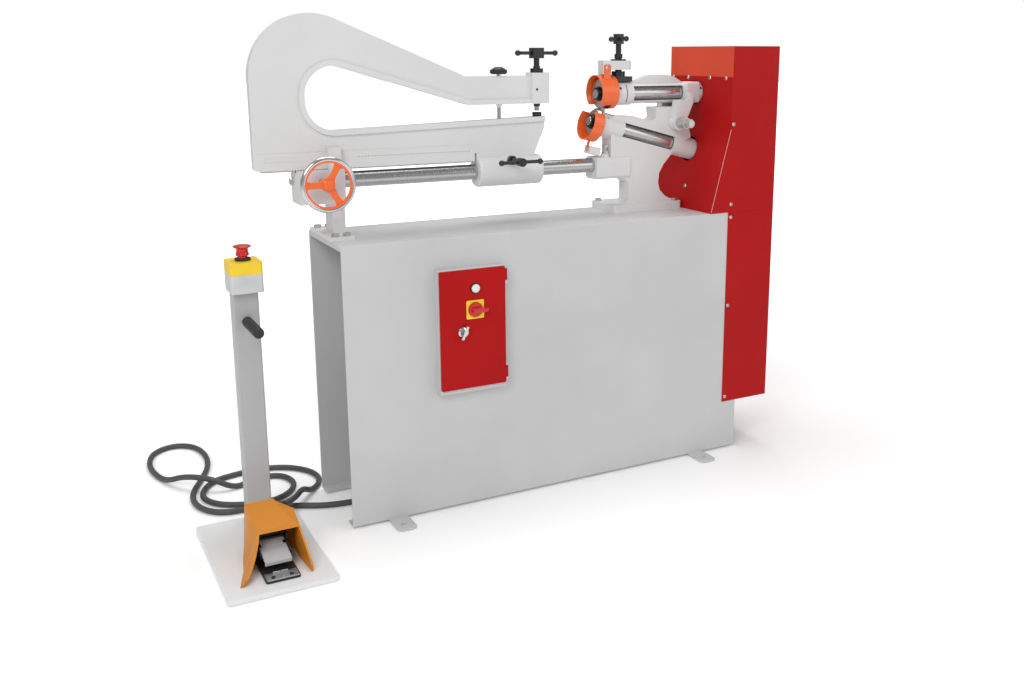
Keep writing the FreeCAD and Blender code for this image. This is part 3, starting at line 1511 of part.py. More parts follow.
def upper_guard():
    y = s.bar_depth
    level = s.upper_level + s.upper_guard_rise
    left = s.cut_plane - 15
    right = left + s.upper_guard_long
    outer = cylinder("upper_guard_outer", s.guard_radius, (left, y, level), right - left, "x")
    room = cylinder("upper_guard_room", s.guard_radius - s.guard_sheet, (left - 1, y, level),
                    right - left - s.guard_sheet + 1, "x")
    back_hole = cylinder("upper_guard_hole", s.collar_radius + 6, (right - 5, y, s.upper_level),
                         10, "x")
    low_cut = box("upper_guard_cut", (left - 1, y - 60, level - 60),
                  (right - 16, y + 60, s.upper_level - s.cutter_radius + 10))
    tab_front = s.bracket_front - s.guard_sheet
    tab = box("upper_guard_tab", (s.upper_tab_left, tab_front, level + 20),
              (s.upper_tab_left + s.upper_tab_wide, s.bracket_front, s.upper_tab_top))
    tab_soft = rounded("upper_tab_soft", tab, 5, lambda middle, way: crosswise(way)
                       and near(middle.z, s.upper_tab_top))
    tab_hole = cylinder("upper_tab_hole", s.panel_screw_shank + s.run_gap,
                        (upper_tab_middle, tab_front - 1, s.guard_screw_level), 5, "y")
    ring = cut("upper_guard_ring", outer, room, back_hole, low_cut)
    tab_room = cylinder("upper_guard_tab_room", s.guard_radius - s.guard_sheet,
                        (left - 1, y, level), right - left, "x")
    node(fuse("upper_guard", ring, cut("upper_guard_tab_cut", tab_soft, tab_room, tab_hole)),
         "upper_guard")


def lower_guard():
    # Drawn along the axis of the lower spindle and tilted with it.
    front = s.lower_guard_front
    back = front + s.lower_guard_long
    drop = -s.lower_guard_drop
    radius = s.lower_guard_radius
    outer = cylinder("lower_guard_outer", radius, (front, 0, drop), back - front, "x")
    room = cylinder("lower_guard_room", radius - s.guard_sheet, (front - 1, 0, drop),
                    back - front - s.guard_sheet + 1, "x")
    back_hole = cylinder("lower_guard_hole", s.collar_radius + 3, (back - 5, 0, 0), 10, "x")
    top_cut = box("lower_guard_cut", (front - 1, -60, s.lower_guard_open), (back + 1, 60, 80))
    tab = box("lower_guard_tab", (s.lower_tab_place, -s.guard_tab / 2, -s.lower_tab_reach),
              (s.lower_tab_place + s.guard_sheet, s.guard_tab / 2, drop - radius + 6))
    tab_soft = rounded("lower_tab_soft", tab, 5, lambda middle, way: abs(way.x) > 0.99
                       and near(middle.z, -s.lower_tab_reach))
    tab_hole = cylinder("lower_tab_hole", s.panel_screw_shank + s.run_gap,
                        (s.lower_tab_place - 1, 0, -s.lower_screw_reach), 5, "x")
    ring = cut("lower_guard_ring", outer, room, back_hole, top_cut)
    tab_room = cylinder("lower_guard_tab_room", radius - s.guard_sheet, (front - 1, 0, drop),
                        back - front, "x")
    whole = fuse("lower_guard", ring, cut("lower_guard_tab_cut", tab_soft, tab_room, tab_hole))
    tilt(whole, s.lower_tilt)
    node(place(whole, lower_axis_left, s.bar_depth, lower_axis_level), "lower_guard")


# Screw that sets the upper arm

shoe_low = s.upper_level + s.arm_front_radius + s.side_gap
shoe_top = shoe_low + s.shoe_tall


def head_screw():
    x, y = s.screw_left, s.bar_depth
    cup_top = shoe_top + s.shoe_cup_tall
    base_raw = box("shoe_base", (s.shoe_left, y - 18, shoe_low), (s.shoe_right, y + 18, shoe_top))
    base = rounded("shoe_soft", base_raw, 8, lambda middle, way: upright(way))
    cup = cylinder("shoe_cup", s.shoe_cup_radius, (x, y, shoe_top - 1), s.shoe_cup_tall + 1)
    cup_hole = cylinder("shoe_hole", s.screw_neck_radius - 2 + s.run_gap, (x, y, cup_top - 12),
                        20)
    node(cut("screw_shoe", fuse("shoe_body", base, cup), cup_hole), "screw_shoe")

    nut_low = s.bracket_low
    nut_top = s.bracket_low + s.bracket_tall
    sleeve = cylinder("head_nut_sleeve", s.clamp_screw_radius + 5, (x, y, nut_low), nut_top
                      - nut_low + 1)
    flange = cylinder("head_nut_flange", s.nut_flange_radius + 4, (x, y, nut_top), 4)
    thread = cylinder("head_nut_thread", s.clamp_screw_radius + s.run_gap, (x, y, nut_low - 1),
                      s.bracket_tall + 8)
    node(cut("head_screw_nut", fuse("head_nut_body", sleeve, flange), thread), "head_screw_nut")

    head_low = s.head_bar_level - s.clamp_head_tall / 2
    half = s.head_block_wide / 2
    head = box("screw_head", (x - half, y - half, head_low),
               (x + half, y + half, s.head_bar_level + s.clamp_head_tall / 2))
    neck = cylinder("screw_neck", s.screw_neck_radius, (x, y, nut_top + 6),
                    head_low - nut_top - 5)
    collar = cylinder("screw_collar", s.screw_collar_radius, (x, y, nut_top + 6), 12)
    shank = cylinder("screw_shank", s.clamp_screw_radius, (x, y, cup_top + s.side_gap),
                     nut_top + 7 - cup_top - s.side_gap)
    tip = cylinder("screw_tip", s.screw_neck_radius - 2, (x, y, cup_top - 11), 14)
    cross = doc.addObject("Part::Cylinder", "screw_cross")
    cross.Placement = FreeCAD.Placement(
        Vector(), Rotation(Vector(0, 0, 1), number(s.head_bar_turn)).multiply(ALONG["x"]))
    bind(cross, Radius=s.handle_radius + s.run_gap, Height=60)
    turn = s.head_bar_turn
    place(cross, x - 30 * cosine(turn), y - 30 * sine(turn), s.head_bar_level)
    node(cut("head_screw", fuse("head_screw_body", head, neck, collar, shank, tip), cross),
         "head_screw")
    handle_bar("head_screw_bar", x, y, s.head_bar_level, s.head_bar_turn)


# Drive inside the cover

def gear_ring(distance):
    # The tooth outline of a bevel gear at a distance from the common apex, as (y, z) pairs.
    count = int(number(s.gear_teeth))
    half_tilt = math.radians(number(s.lower_tilt) / 2)
    scale = distance / number(s.gear_distance)
    pitch = number(s.gear_distance) * math.tan(half_tilt)
    thick = math.pi * pitch / count - number(s.gear_slack) / 2
    rows = ((pitch - number(s.gear_root), thick * 0.72), (pitch + number(s.gear_tip), thick * 0.3))
    points = []
    for index in range(count):
        angle = 2 * math.pi * index / count
        for reach, side, half in ((rows[0][0], -1, rows[0][1]), (rows[1][0], -1, rows[1][1]),
                                  (rows[1][0], 1, rows[1][1]), (rows[0][0], 1, rows[0][1])):
            across = side * half
            points.append((scale * (reach * math.sin(angle) + across * math.cos(angle)),
                           scale * (reach * math.cos(angle) - across * math.sin(angle))))
    return points


def bevel_gear(label, turn, lean, hub_long):
    # Built along x from the apex of both gears, then brought to its spindle.
    wires = []
    for distance in (number(gear_along), number(gear_along + s.gear_face)):
        corners = [Vector(distance, y, z) for y, z in gear_ring(distance)]
        wires.append(Part.makePolygon(corners + corners[:1]))
    gear = Part.makeLoft(wires, True, True)
    start = number(gear_along)
    hub = Part.makeCylinder(number(s.gear_bore) + 14, hub_long, Vector(start, 0, 0),
                            Vector(1, 0, 0))
    bore = Part.makeCylinder(number(s.gear_bore + s.press_gap), 200,
                             Vector(start - 50, 0, 0), Vector(1, 0, 0))
    turned_to = Rotation(Vector(0, 1, 0), number(lean)).multiply(Rotation(Vector(1, 0, 0), turn))
    shape_node(label, gear.fuse(hub).cut(bore),
               FreeCAD.Placement(vector(apex_left, s.bar_depth, s.upper_level), turned_to))


def gears():
    half_tooth = 180 / number(s.gear_teeth)
    bevel_gear("upper_gear", 180, 0, number(s.gear_face))
    bevel_gear("lower_gear", half_tooth, s.lower_tilt, number(s.gear_face) + 4)


def pulley_profile(radius, lip_long):
    wide = s.pulley_wide
    hub = s.gear_bore + s.press_gap
    return [(0, hub), (0, radius + s.pulley_lip), (lip_long, radius + s.pulley_lip),
            (lip_long, radius), (wide - lip_long, radius),
            (wide - lip_long, radius + s.pulley_lip), (wide, radius + s.pulley_lip), (wide, hub)]


def pulleys():
    upper = turned("drive_pulley", pulley_profile(s.pulley_radius, 2))
    node(place(upper, s.pulley_left, s.bar_depth, s.upper_level), "drive_pulley")
    profile = pulley_profile(s.motor_pulley_radius, 2)
    profile[0] = (0, s.motor_shaft_radius + s.press_gap)
    profile[-1] = (s.pulley_wide, s.motor_shaft_radius + s.press_gap)
    lower = turned("motor_pulley", profile)
    node(place(lower, s.pulley_left, s.bar_depth, s.motor_level), "motor_pulley")


def belt_loop(grow):
    # Two arcs and the two runs that touch both pulleys.
    top, low = number(s.upper_level), number(s.motor_level)
    big = number(s.pulley_radius + grow)
    small = number(s.motor_pulley_radius + grow)
    y = number(s.bar_depth)
    lean = math.asin((big - small) / (top - low))
    cosine_lean, sine_lean = math.cos(lean), math.sin(lean)
    x = number(pulley_middle - s.belt_wide / 2)

    def rim(level, radius, side):
        return Vector(x, y + side * radius * cosine_lean, level - radius * sine_lean)

    big_right, big_left = rim(top, big, 1), rim(top, big, -1)
    small_right, small_left = rim(low, small, 1), rim(low, small, -1)
    edges = [Part.Arc(big_right, Vector(x, y, top + big), big_left).toShape(),
             Part.LineSegment(big_left, small_left).toShape(),
             Part.Arc(small_left, Vector(x, y, low - small), small_right).toShape(),
             Part.LineSegment(small_right, big_right).toShape()]
    return Part.Face(Part.Wire(edges))


def drive_belt():
    outer = belt_loop(s.belt_gap + s.belt_thick)
    inner = belt_loop(s.belt_gap)
    shape_node("drive_belt", outer.cut(inner).extrude(Vector(number(s.belt_wide), 0, 0)))


def drive_motor():
    y, z = s.bar_depth, s.motor_level
    end = s.motor_left + s.motor_long
    case = cylinder("motor_case", s.motor_radius, (s.motor_left, y, z), s.motor_long, "x")
    cowl = cylinder("motor_cowl", s.motor_radius + 4, (s.motor_left, y, z), 44, "x")
    flange = cylinder("motor_flange", s.motor_radius + 4, (end - 16, y, z), 16, "x")
    shaft = cylinder("motor_shaft", s.motor_shaft_radius, (end - 1, y, z),
                     s.pulley_left + s.pulley_wide - end + 3, "x")
    feet = [box("motor_foot_%d" % index, (s.motor_left + 60, y + side * 55 - 12, s.shelf_level),
                (end - 50, y + side * 55 + 12, s.motor_level - 30))
            for index, side in enumerate((-1, 1), 1)]
    terminal = box("motor_terminal", (s.motor_left + 90, y - 40, z + s.motor_radius - 8),
                   (s.motor_left + 170, y + 40, z + s.motor_radius + 34))
    node(fuse("drive_motor", case, cowl, flange, shaft, terminal, *feet), "drive_motor")


# Cover over the drive

cover_front = cabinet_front - s.cover_sheet


def cover_cap():
    skin = s.cover_sheet
    outer = box("cap_outer", (s.cover_left, cover_front, s.cap_seam),
                (s.cover_right, s.cover_back, s.cover_top))
    inner = box("cap_inner", (s.cover_left + skin, cover_front + skin, s.cap_seam - 1),
                (s.cover_right - skin, s.cover_back - skin, s.cover_top - skin))
    lip_outer = box("cap_lip_outer", (s.cover_left + skin, cover_front + skin,
                                      s.cap_seam - s.cap_lip),
                    (s.cover_right - skin, s.cover_back - skin, s.cap_seam + 6))
    lip_inner = box("cap_lip_inner", (s.cover_left + skin * 2, cover_front + skin * 2,
                                      s.cap_seam - s.cap_lip - 1),
                    (s.cover_right - skin * 2, s.cover_back - skin * 2, s.cap_seam + 7))
    shell = cut("cap_shell", outer, inner)
    lip = cut("cap_lip_ring", lip_outer, lip_inner)
    screw_holes = [screw_hole("cap_hole", index, spot, way)
                   for index, (spot, way) in enumerate(cap_screw_places(), 1)]
    node(cut("cover_cap", fuse("cap_whole", shell, lip), *screw_holes), "cover_cap")


def cover_outline(shrink):
    slope = (s.cover_left - s.flare_left) / (s.flare_level - cabinet_top)
    lean = shrink * 1.05
    low = cabinet_top
    return [(s.flare_left + lean, low), (s.cover_right - shrink, low),
            (s.cover_right - shrink, s.cap_seam), (s.cover_left + shrink, s.cap_seam),
            (s.cover_left + shrink, s.flare_level - shrink * slope)]


def cover_upper():
    skin = s.cover_sheet
    deep = s.cover_back - cover_front
    outer = plate("upper_cover_outer", cover_outline(as_size(0)), cover_front, deep)
    inner = plate("upper_cover_inner", cover_outline(skin), cover_front + skin,
                  deep - skin * 2)
    top_open = box("upper_cover_top", (s.cover_left + skin, cover_front + skin, s.cap_seam - 9),
                   (s.cover_right - skin, s.cover_back - skin, s.cap_seam + 1))
    low_open = box("upper_cover_low", (cabinet_right + 0.5, cover_front + skin, cabinet_top - 1),
                   (s.cover_right - skin, s.cover_back - skin, cabinet_top + 9))
    arm_hole = cylinder("cover_arm_hole", s.arm_back_radius + 5,
                        (s.cover_left - 40, s.bar_depth, s.upper_level), 60, "x")
    barrel_hole = lower_cylinder("cover_barrel_hole", s.lower_back_radius + 6,
                                 s.lower_back - 100, s.lower_back + 40)
    screw_holes = [screw_hole("upper_cover_hole", index, spot, way)
                   for index, (spot, way) in enumerate(upper_screw_places(), 1)]
    flare_hole = flare_rod("flare_hole", s.panel_screw_shank + s.run_gap,
                           s.panel_screw_shank + s.run_gap + 0.01, 5, 12)
    node(cut("cover_upper", outer, inner, top_open, low_open, arm_hole, barrel_hole, flare_hole,
             *screw_holes), "cover_upper")


def cover_lower():
    skin = s.cover_sheet
    top = cabinet_top - s.side_gap
    outer = box("lower_cover_outer", (s.cover_left, cover_front, s.cover_low),
                (s.cover_right, s.cover_back, top))
    inner = box("lower_cover_inner", (s.cover_left - 1, cover_front + skin,
                                      s.cover_low + skin),
                (s.cover_right - skin, s.cover_back - skin, top + 1))
    cabinet_room = box("lower_cover_cabinet", (s.cover_left - 2, cabinet_front,
                                               s.cover_low - 1),
                       (cabinet_right, cabinet_back, top + 2))
    back_strip = box("lower_cover_strip", (s.cover_left, cabinet_back, s.cover_low),
                     (s.cover_left + skin, s.cover_back, top))
    screw_holes = [screw_hole("lower_cover_hole", index, spot, way)
                   for index, (spot, way) in enumerate(lower_screw_places(), 1)]
    whole = fuse("lower_cover_whole", cut("lower_cover_shell", outer, inner, cabinet_room),
                 back_strip)
    node(cut("cover_lower", whole, *screw_holes), "cover_lower")


def cap_screw_places():
    level = s.cap_seam - 4
    side = [((s.cover_left, depth, level), "x") for depth in (-109, -35, 70, 145)]
    return side


def upper_screw_places():
    edge = s.cover_left + 8
    return cap_screw_places() + [((edge, cover_front, s.flare_level + 11), "y"),
                                 ((edge, cover_front, cabinet_top + 23), "y")]


def flare_screw_place():
    # On the slanted wall, at a third of its height.
    lean = (s.cover_left - s.flare_left) / (s.flare_level - cabinet_top)
    return s.flare_left + lean * s.flare_screw_rise, 8, cabinet_top + s.flare_screw_rise


def flare_rod(name, radius, end_radius, out, length):
    # A rod or cone square to the slanted wall, starting at a distance outside it.
    angle = 90 + math.degrees(math.atan2(number(s.cover_left - s.flare_left),
                                         number(s.flare_level - cabinet_top)))
    way = Rotation(Vector(0, 1, 0), angle)
    x, y, z = flare_screw_place()
    away = way.multVec(Vector(0, 0, 1))
    thing = doc.addObject("Part::Cone", name)
    bind(thing, Radius1=radius, Radius2=end_radius, Height=length)
    thing.Placement = FreeCAD.Placement(Vector(), way)
    return place(thing, x - out * away.x, y, z - out * away.z)


def lower_screw_places():
    edge = s.cover_left + 9
    return [((edge, cover_front, level), "y")
            for level in (cabinet_top - 14, cabinet_top - 270, s.cover_low + 15)]


def screw_hole(name, index, spot, way):
    length = s.cover_sheet * 2 + s.cabinet_sheet + 8
    x, y, z = spot
    start = (x - 4, y, z) if way == "x" else (x, y - 4, z)
    return cylinder("%s_%d" % (name, index), s.panel_screw_shank + s.run_gap, start, length, way)


def panel_screw(index, spot, way):
    x, y, z = spot
    tall = s.panel_screw_tall
    if way == "x":
        seat, shank = (x - tall, y, z), (x - 1, y, z)
    else:
        seat, shank = (x, y - tall, z), (x, y - 1, z)
    head = cone("panel_screw_head_%d" % index, s.panel_screw_radius - 2, s.panel_screw_radius,
                seat, tall, way)
    stem = cylinder("panel_screw_stem_%d" % index, s.panel_screw_shank, shank,
                    s.cover_sheet + 1, way)
    return fuse("panel_screw_%d" % index, head, stem)


def panel_screws():
    places = upper_screw_places() + lower_screw_places()
    places.append(((upper_tab_middle, s.bracket_front - s.guard_sheet, s.guard_screw_level), "y"))
    pieces = [panel_screw(index, spot, way) for index, (spot, way) in enumerate(places, 1)]
    tall, shank = s.panel_screw_tall, s.panel_screw_shank
    pieces.append(fuse("flare_screw",
                       flare_rod("flare_screw_head", s.panel_screw_radius - 2,
                                 s.panel_screw_radius, tall, tall),
                       flare_rod("flare_screw_stem", shank - 0.01, shank, 1, s.cover_sheet + 4)))
    tab = s.lower_tab_place
    pieces.append(fuse("tab_screw",
                       tilted_rod("tab_screw_head", s.panel_screw_radius, tab - tall, tab,
                                  s.lower_screw_reach),
                       tilted_rod("tab_screw_stem", shank, tab - 1, tab + 12,
                                  s.lower_screw_reach)))
    node(group("panel_screws", pieces), "panel_screws")


# Pedal stand

base_right = s.base_left + s.base_long
base_back = s.base_front + s.base_deep
pedal_middle = s.pedal_left + s.pedal_wide / 2


def stand():
    slab = box("stand_base_slab", (s.base_left, s.base_front, 0),
               (base_right, base_back, s.base_thick))
    base = rounded("stand_base", slab, 8, lambda middle, way: upright(way))
    node(base, "stand_base")

    left, front = s.stand_left, s.stand_front
    right, back = left + s.stand_wide, front + s.stand_deep
    outer = box("stand_outer", (left, front, s.base_thick), (right, back, s.stop_low))
    tube = rounded("stand_tube", outer, 4, lambda middle, way: upright(way))
    skin = s.stand_sheet
    inner = box("stand_inner", (left + skin, front + skin, s.base_thick - 1),
                (right - skin, back - skin, s.stop_low + 1))
    grip_hole = cylinder("stand_grip_hole", 5 + s.press_gap,
                         (left + s.stand_wide / 2, front - 1, s.grip_level), skin + 2, "y")
    cable_hole = cylinder("stand_cable_hole", s.cable_radius + 1,
                          (right - skin - 1, s.inlet_depth, s.inlet_level), skin + 2, "x")
    node(cut("stand_post", tube, inner, grip_hole, cable_hole), "stand_post")

    shaft = cylinder("grip_shaft", 5, (left + s.stand_wide / 2, front - 12, s.grip_level),
                     12 + skin + 6, "y")
    sleeve = cylinder("grip_sleeve", s.grip_radius,
                      (left + s.stand_wide / 2, front - s.grip_long, s.grip_level),
                      s.grip_long - 2, "y")
    sleeve_soft = rounded("grip_soft", sleeve, 5, lambda middle, way: near(
        middle.y, front - s.grip_long))
    node(fuse("stand_grip", shaft, sleeve_soft), "stand_grip")


def stop_station():
    left = s.stop_left
    right = left + s.stop_wide
    front = s.stand_front + s.stand_deep / 2 - s.stop_deep / 2
    back = front + s.stop_deep
    wall = s.stop_wall
    outer = box("stop_box_outer", (left, front, s.stop_low), (right, back, s.stop_split))
    soft = rounded("stop_box_soft", outer, 6, lambda middle, way: upright(way))
    room = box("stop_box_room", (left + wall, front + wall, s.stop_low + wall),
               (right - wall, back - wall, s.stop_split + 1))
    node(cut("stop_box", soft, room), "stop_box")

    lid_outer = box("stop_lid_outer", (left, front, s.stop_split), (right, back, s.stop_top))
    lid_soft = rounded("stop_lid_soft", lid_outer, 6, lambda middle, way: upright(way))
    lid_room = box("stop_lid_room", (left + wall, front + wall, s.stop_split - 1),
                   (right - wall, back - wall, s.stop_top - wall))
    middle = left + s.stop_wide / 2
    depth = front + s.stop_deep / 2
    collar = cylinder("stop_lid_collar", s.stop_stem + 2, (middle, depth, s.stop_top - 1), 7)
    bore = cylinder("stop_lid_bore", s.stop_stem - 4 + s.run_gap,
                    (middle, depth, s.stop_top - 10), 30)
    lid = fuse("stop_lid_body", cut("stop_lid_shell", lid_soft, lid_room), collar)
    node(cut("stop_lid", lid, bore), "stop_lid")

    cap_low = s.stop_cap_top - s.stop_cap_tall
    stem_low = s.stop_top - wall - 8
    profile = [(stem_low, 0), (stem_low, s.stop_stem - 4), (cap_low + 2, s.stop_stem - 4),
               (cap_low + 2, s.stop_stem - 1), (cap_low, s.stop_stem + 2),
               (cap_low + 4, s.stop_cap), (cap_low + 11, s.stop_cap),
               (s.stop_cap_top - 4, s.stop_cap - 4), (s.stop_cap_top, s.stop_cap - 12),
               (s.stop_cap_top, 0)]
    node(place(turned("stop_button", profile, "z"), middle, depth, 0), "stop_button")


def hood_ring(y, left, top_left, top_right, right, top, low, inset=0):
    # One cross section of the hood.
    corners = [Vector(left + inset, y, low), Vector(right - inset, y, low),
               Vector(right - inset, y, top[1] - inset), Vector(top_right, y, top[0] - inset),
               Vector(top_left + inset, y, top[0] - inset)]
    return Part.makePolygon(corners + corners[:1])


def hood_shell(inset, low):
    # Lofted from the back to the tips of the legs; the right wall steps out to stay upright.
    left, crown_right = number(s.hood_top_left), number(s.hood_top_right)
    right, tip_left = number(s.hood_right), number(s.hood_tip_left)
    back, brow, tip = number(s.hood_back), number(s.hood_brow), number(s.hood_tip)
    top, brow_top = number(s.hood_top), number(s.hood_brow_top)
    step, step_top = number(s.hood_step), number(s.hood_step_top)
    share = (brow - back) / (tip - back)
    brow_left = left + (tip_left - left) * share
    tip_top = brow_top + (brow_top - top) * (tip - brow) / (brow - back)
    extra = 5 if inset else 0
    sections = [
        hood_ring(back - inset, left - 8, left, crown_right, crown_right + 8, (top, top - 8),
                  low, inset),
        hood_ring(step, (left + brow_left) / 2 - 5, left, crown_right + 8, right,
                  (top - 10, step_top), low, inset),
        hood_ring(brow, brow_left, left + 6, right - 4, right, (brow_top, brow_top - 4), low,
                  inset),
        hood_ring(tip - extra, tip_left, left - 4, right, number(s.hood_tip_right),
                  (tip_top, tip_top - 4), low, inset)]
    return Part.makeLoft(sections, True, True)


def pedal_hood():
    # A folded hood, wider and lower at its mouth, with two legs that run forward to the floor.
    low = number(s.base_thick)
    wall = number(s.hood_wall)
    outer = hood_shell(0, low)
    inner = hood_shell(wall, low - 1)
    brow, tip = number(s.hood_brow), number(s.hood_tip)
    brow_top = number(s.hood_brow_top)
    mouth = extruded_side([(brow, brow_top + 40), (brow, brow_top - 1), (tip, low + 16),
                           (tip - 10, low + 4), (tip - 10, brow_top + 40)])
    shape_node("pedal_hood", outer.cut(inner).cut(mouth))


def extruded_side(corners):
    # A polygon in y and z, drawn across the pedal.
    left = number(pedal_middle) - 200
    points = [Vector(left, y, z) for y, z in corners]
    return Part.Face(Part.makePolygon(points + points[:1])).extrude(Vector(400, 0, 0))


treadle_back = s.treadle_front + s.treadle_long


def pedal():
    left, right = s.pedal_left, s.pedal_left + s.pedal_wide
    low = s.base_thick
    floor_plate = box("pedal_floor", (left, s.pedal_front, low),
                      (right, s.pedal_back, low + s.pedal_plate))
    soft = rounded("pedal_floor_soft", floor_plate, 6, lambda middle, way: upright(way))
    case = box("pedal_case", (left + 10, treadle_back + 6, low + s.pedal_plate - 1),
               (right - 10, s.pedal_back - 6, s.treadle_level + 8))
    cheeks = [box("pedal_cheek_%d" % index, (x, treadle_back - 14, low + 1),
                  (x + 4, treadle_back + 8, s.treadle_level + 9))
              for index, x in enumerate((left, right - 4), 1)]
    pin_holes = cylinder("pedal_pin_hole", 3 + s.run_gap,
                         (left - 1, treadle_back, s.treadle_level - 2), s.pedal_wide + 2, "x")
    screw_holes = [cylinder("pedal_screw_hole_%d" % index, 3,
                            (pedal_middle + side * 20, s.pedal_front + 12, low - 1),
                            s.pedal_plate + 2)
                   for index, side in enumerate((-1, 1), 1)]
    whole = fuse("pedal_whole", soft, case, *cheeks)
    node(cut("pedal_base", whole, pin_holes, *screw_holes), "pedal_base")

    half = s.treadle_wide / 2
    tread = box("treadle_plate", (pedal_middle - half, 0, -s.treadle_thick),
                (pedal_middle + half, s.treadle_long - 2, 0))
    skirt = box("treadle_skirt", (pedal_middle - half, 0, -s.treadle_thick - 5),
                (pedal_middle + half, 3, -1))
    blade = fuse("treadle_blade", tread, skirt)
    lean = Rotation(Vector(1, 0, 0), number(s.treadle_slope))
    blade.Placement = FreeCAD.Placement(Vector(), lean)
    blade.setExpression("Placement.Rotation.Angle", s.treadle_slope.formula)
    reach = s.treadle_long
    place(blade, 0, treadle_back - reach * cosine(s.treadle_slope),
          s.treadle_level - reach * sine(s.treadle_slope))
    roll = cylinder("treadle_roll", 5, (pedal_middle - half, treadle_back, s.treadle_level - 2),
                    half * 2, "x")
    pin = cylinder("treadle_pin", 3, (left + 0.5, treadle_back, s.treadle_level - 2),
                   s.pedal_wide - 1, "x")
    node(fuse("treadle", blade, roll, pin), "treadle")


# Cable from the cabinet to the stand, in the order it runs

def cable_points():
    z = number(s.cable_radius)
    over = 5 * z
    out_x, out_y = number(s.outlet_left), number(s.outlet_depth)
    out_z = number(s.box_low + s.box_rim)
    in_x = number(s.stand_left + s.stand_wide)
    in_y, in_z = number(s.inlet_depth), number(s.inlet_level)
    return [(out_x, out_y, out_z), (out_x, out_y, out_z - 70), (-303, -76, 175), (-314, -66, 105),
            (-345, -52, 40), (-410, -30, 9), (-500, 4, z), (-590, 12, z), (-672, 58, z),
            (-760, 92, z), (-842, 94, z), (-890, 160, z), (-890, 250, z), (-846, 345, z),
            (-812, 435, z), (-806, 530, z), (-826, 608, z), (-880, 640, z), (-938, 606, z),
            (-960, 530, z), (-958, 450, z), (-936, 374, z), (-896, 312, over),
            (-836, 262, over), (-782, 242, z), (-738, 263, z), (-688, 282, z), (-644, 262, z),
            (-628, 200, z), (-656, 140, z), (-712, 108, z), (-778, 120, z), (-838, 152, z),
            (-868, 208, z), (-856, 268, z), (-818, 318, z), (-756, 334, z), (-688, 342, z),
            (-616, 316, z), (-566, 252, z), (-562, 180, z), (-603, 125, z), (-638, 84, over),
            (-668, 34, over), (in_x + 30, in_y, in_z), (in_x, in_y, in_z)]


def cable_path(points):
    corners = [Vector(*point) for point in points]
    edges = []
    at = corners[0]
    radii = []
    for index in range(1, len(corners) - 1):
        before = corners[index] - corners[index - 1]
        after = corners[index + 1] - corners[index]
        turn = before.getAngle(after)
        shorter = min(before.Length, after.Length)
        reach = 0.45 * shorter
        radii.append(reach / math.tan(turn / 2))
        start = corners[index] - before.normalize() * reach
        end = corners[index] + after.normalize() * reach
        aim = (start + end) * 0.5 - corners[index]
        apex_gap = radii[-1] / math.cos(turn / 2) - radii[-1]
        middle = corners[index] + aim.normalize() * apex_gap
        edges.append(Part.LineSegment(at, start).toShape())
        edges.append(Part.Arc(start, middle, end).toShape())
        at = end
    edges.append(Part.LineSegment(at, corners[-1]).toShape())
    return Part.Wire(edges), radii


def gland(name, start, along):
    # A hexagonal base, a round body and the bore the cable runs through.
    x, y, z = start
    step = s.gland_long / 2
    beyond = (x + step - 0.5, y, z) if along == "x" else (x, y, z + 0.5)
    base = (x, y, z) if along == "x" else (x, y, z + step)
    nut = hexagon(name + "_nut", s.gland_radius, base, step, along)
    body = cylinder(name + "_body", s.gland_radius - 2, beyond, step, along)
    past = (x - 2, y, z) if along == "x" else (x, y, z - 2)
    bore = cylinder(name + "_bore", s.cable_radius + s.press_gap, past, s.gland_long + 4, along)
    return cut(name, fuse(name + "_whole", nut, body), bore)


def cable_glands():
    outlet = gland("outlet_gland", (s.outlet_left, s.outlet_depth,
                                    s.box_low + s.box_rim - s.gland_long), "z")
    inlet = gland("inlet_gland", (s.stand_left + s.stand_wide, s.inlet_depth, s.inlet_level),
                  "x")
    node(group("cable_glands", [outlet, inlet]), "cable_glands")


def pedal_cable():
    wire, radii = cable_path(cable_points())
    radius = number(s.cable_radius)
    first = wire.Edges[0]
    start = first.valueAt(first.FirstParameter)
    circle = Part.Wire(Part.Circle(start, first.tangentAt(first.FirstParameter),
                                   radius).toShape())
    tube = wire.makePipeShell([circle], True, False)
    print("cable length %.1f, least radius %.1f" % (wire.Length, min(radii)))
    print("cable radii", [round(item) for item in radii])
    print("cable volume share", round(tube.Volume / (math.pi * radius ** 2 * wire.Length), 4))
    shape_node("pedal_cable", tube)


def build():
    cabinet()
    control_box()
    control_door()
    door_fittings()
    support_post()
    frame_bolts()
    pinion_shaft()
    handwheel()
    rack()
    guide_bar()
    c_frame()
    clamp()
    strut()
    hub_lock()
    head_frame()
    screw_bracket()
    upper_arm()
    pivot_bolt()
    upper_bushes()
    lower_bushes()
    upper_spindle()
    lower_spindle()
    cutters()
    upper_guard()
    lower_guard()
    head_screw()
    gears()
    pulleys()
    drive_belt()
    drive_motor()
    cover_cap()
    cover_upper()
    cover_lower()
    panel_screws()
    stand()
    stop_station()
    pedal_hood()
    pedal()
    cable_glands()
    pedal_cable()
    doc.recompute()


def checked():
    faults = []
    for thing in doc.Objects:
        if "Invalid" in thing.State or "Error" in thing.State:
            faults.append("%s: %s" % (thing.Name, thing.State))
    for thing in nodes:
        shape = thing.Shape
        if shape.isNull() or not shape.isValid() or not shape.Solids:
            faults.append("%s has no sound shape" % thing.Label)
    return faults


def write_parts():
    os.makedirs("parts", exist_ok=True)
    for thing in nodes:
        thing.Shape.exportStep("parts/%s.step" % thing.Label)


build()
faults = checked()
if faults:
    raise SystemExit("\n".join(faults))
write_parts()
print("%d nodes written" % len(nodes))
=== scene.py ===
import bpy
import json
import math
from mathutils import Matrix, Vector


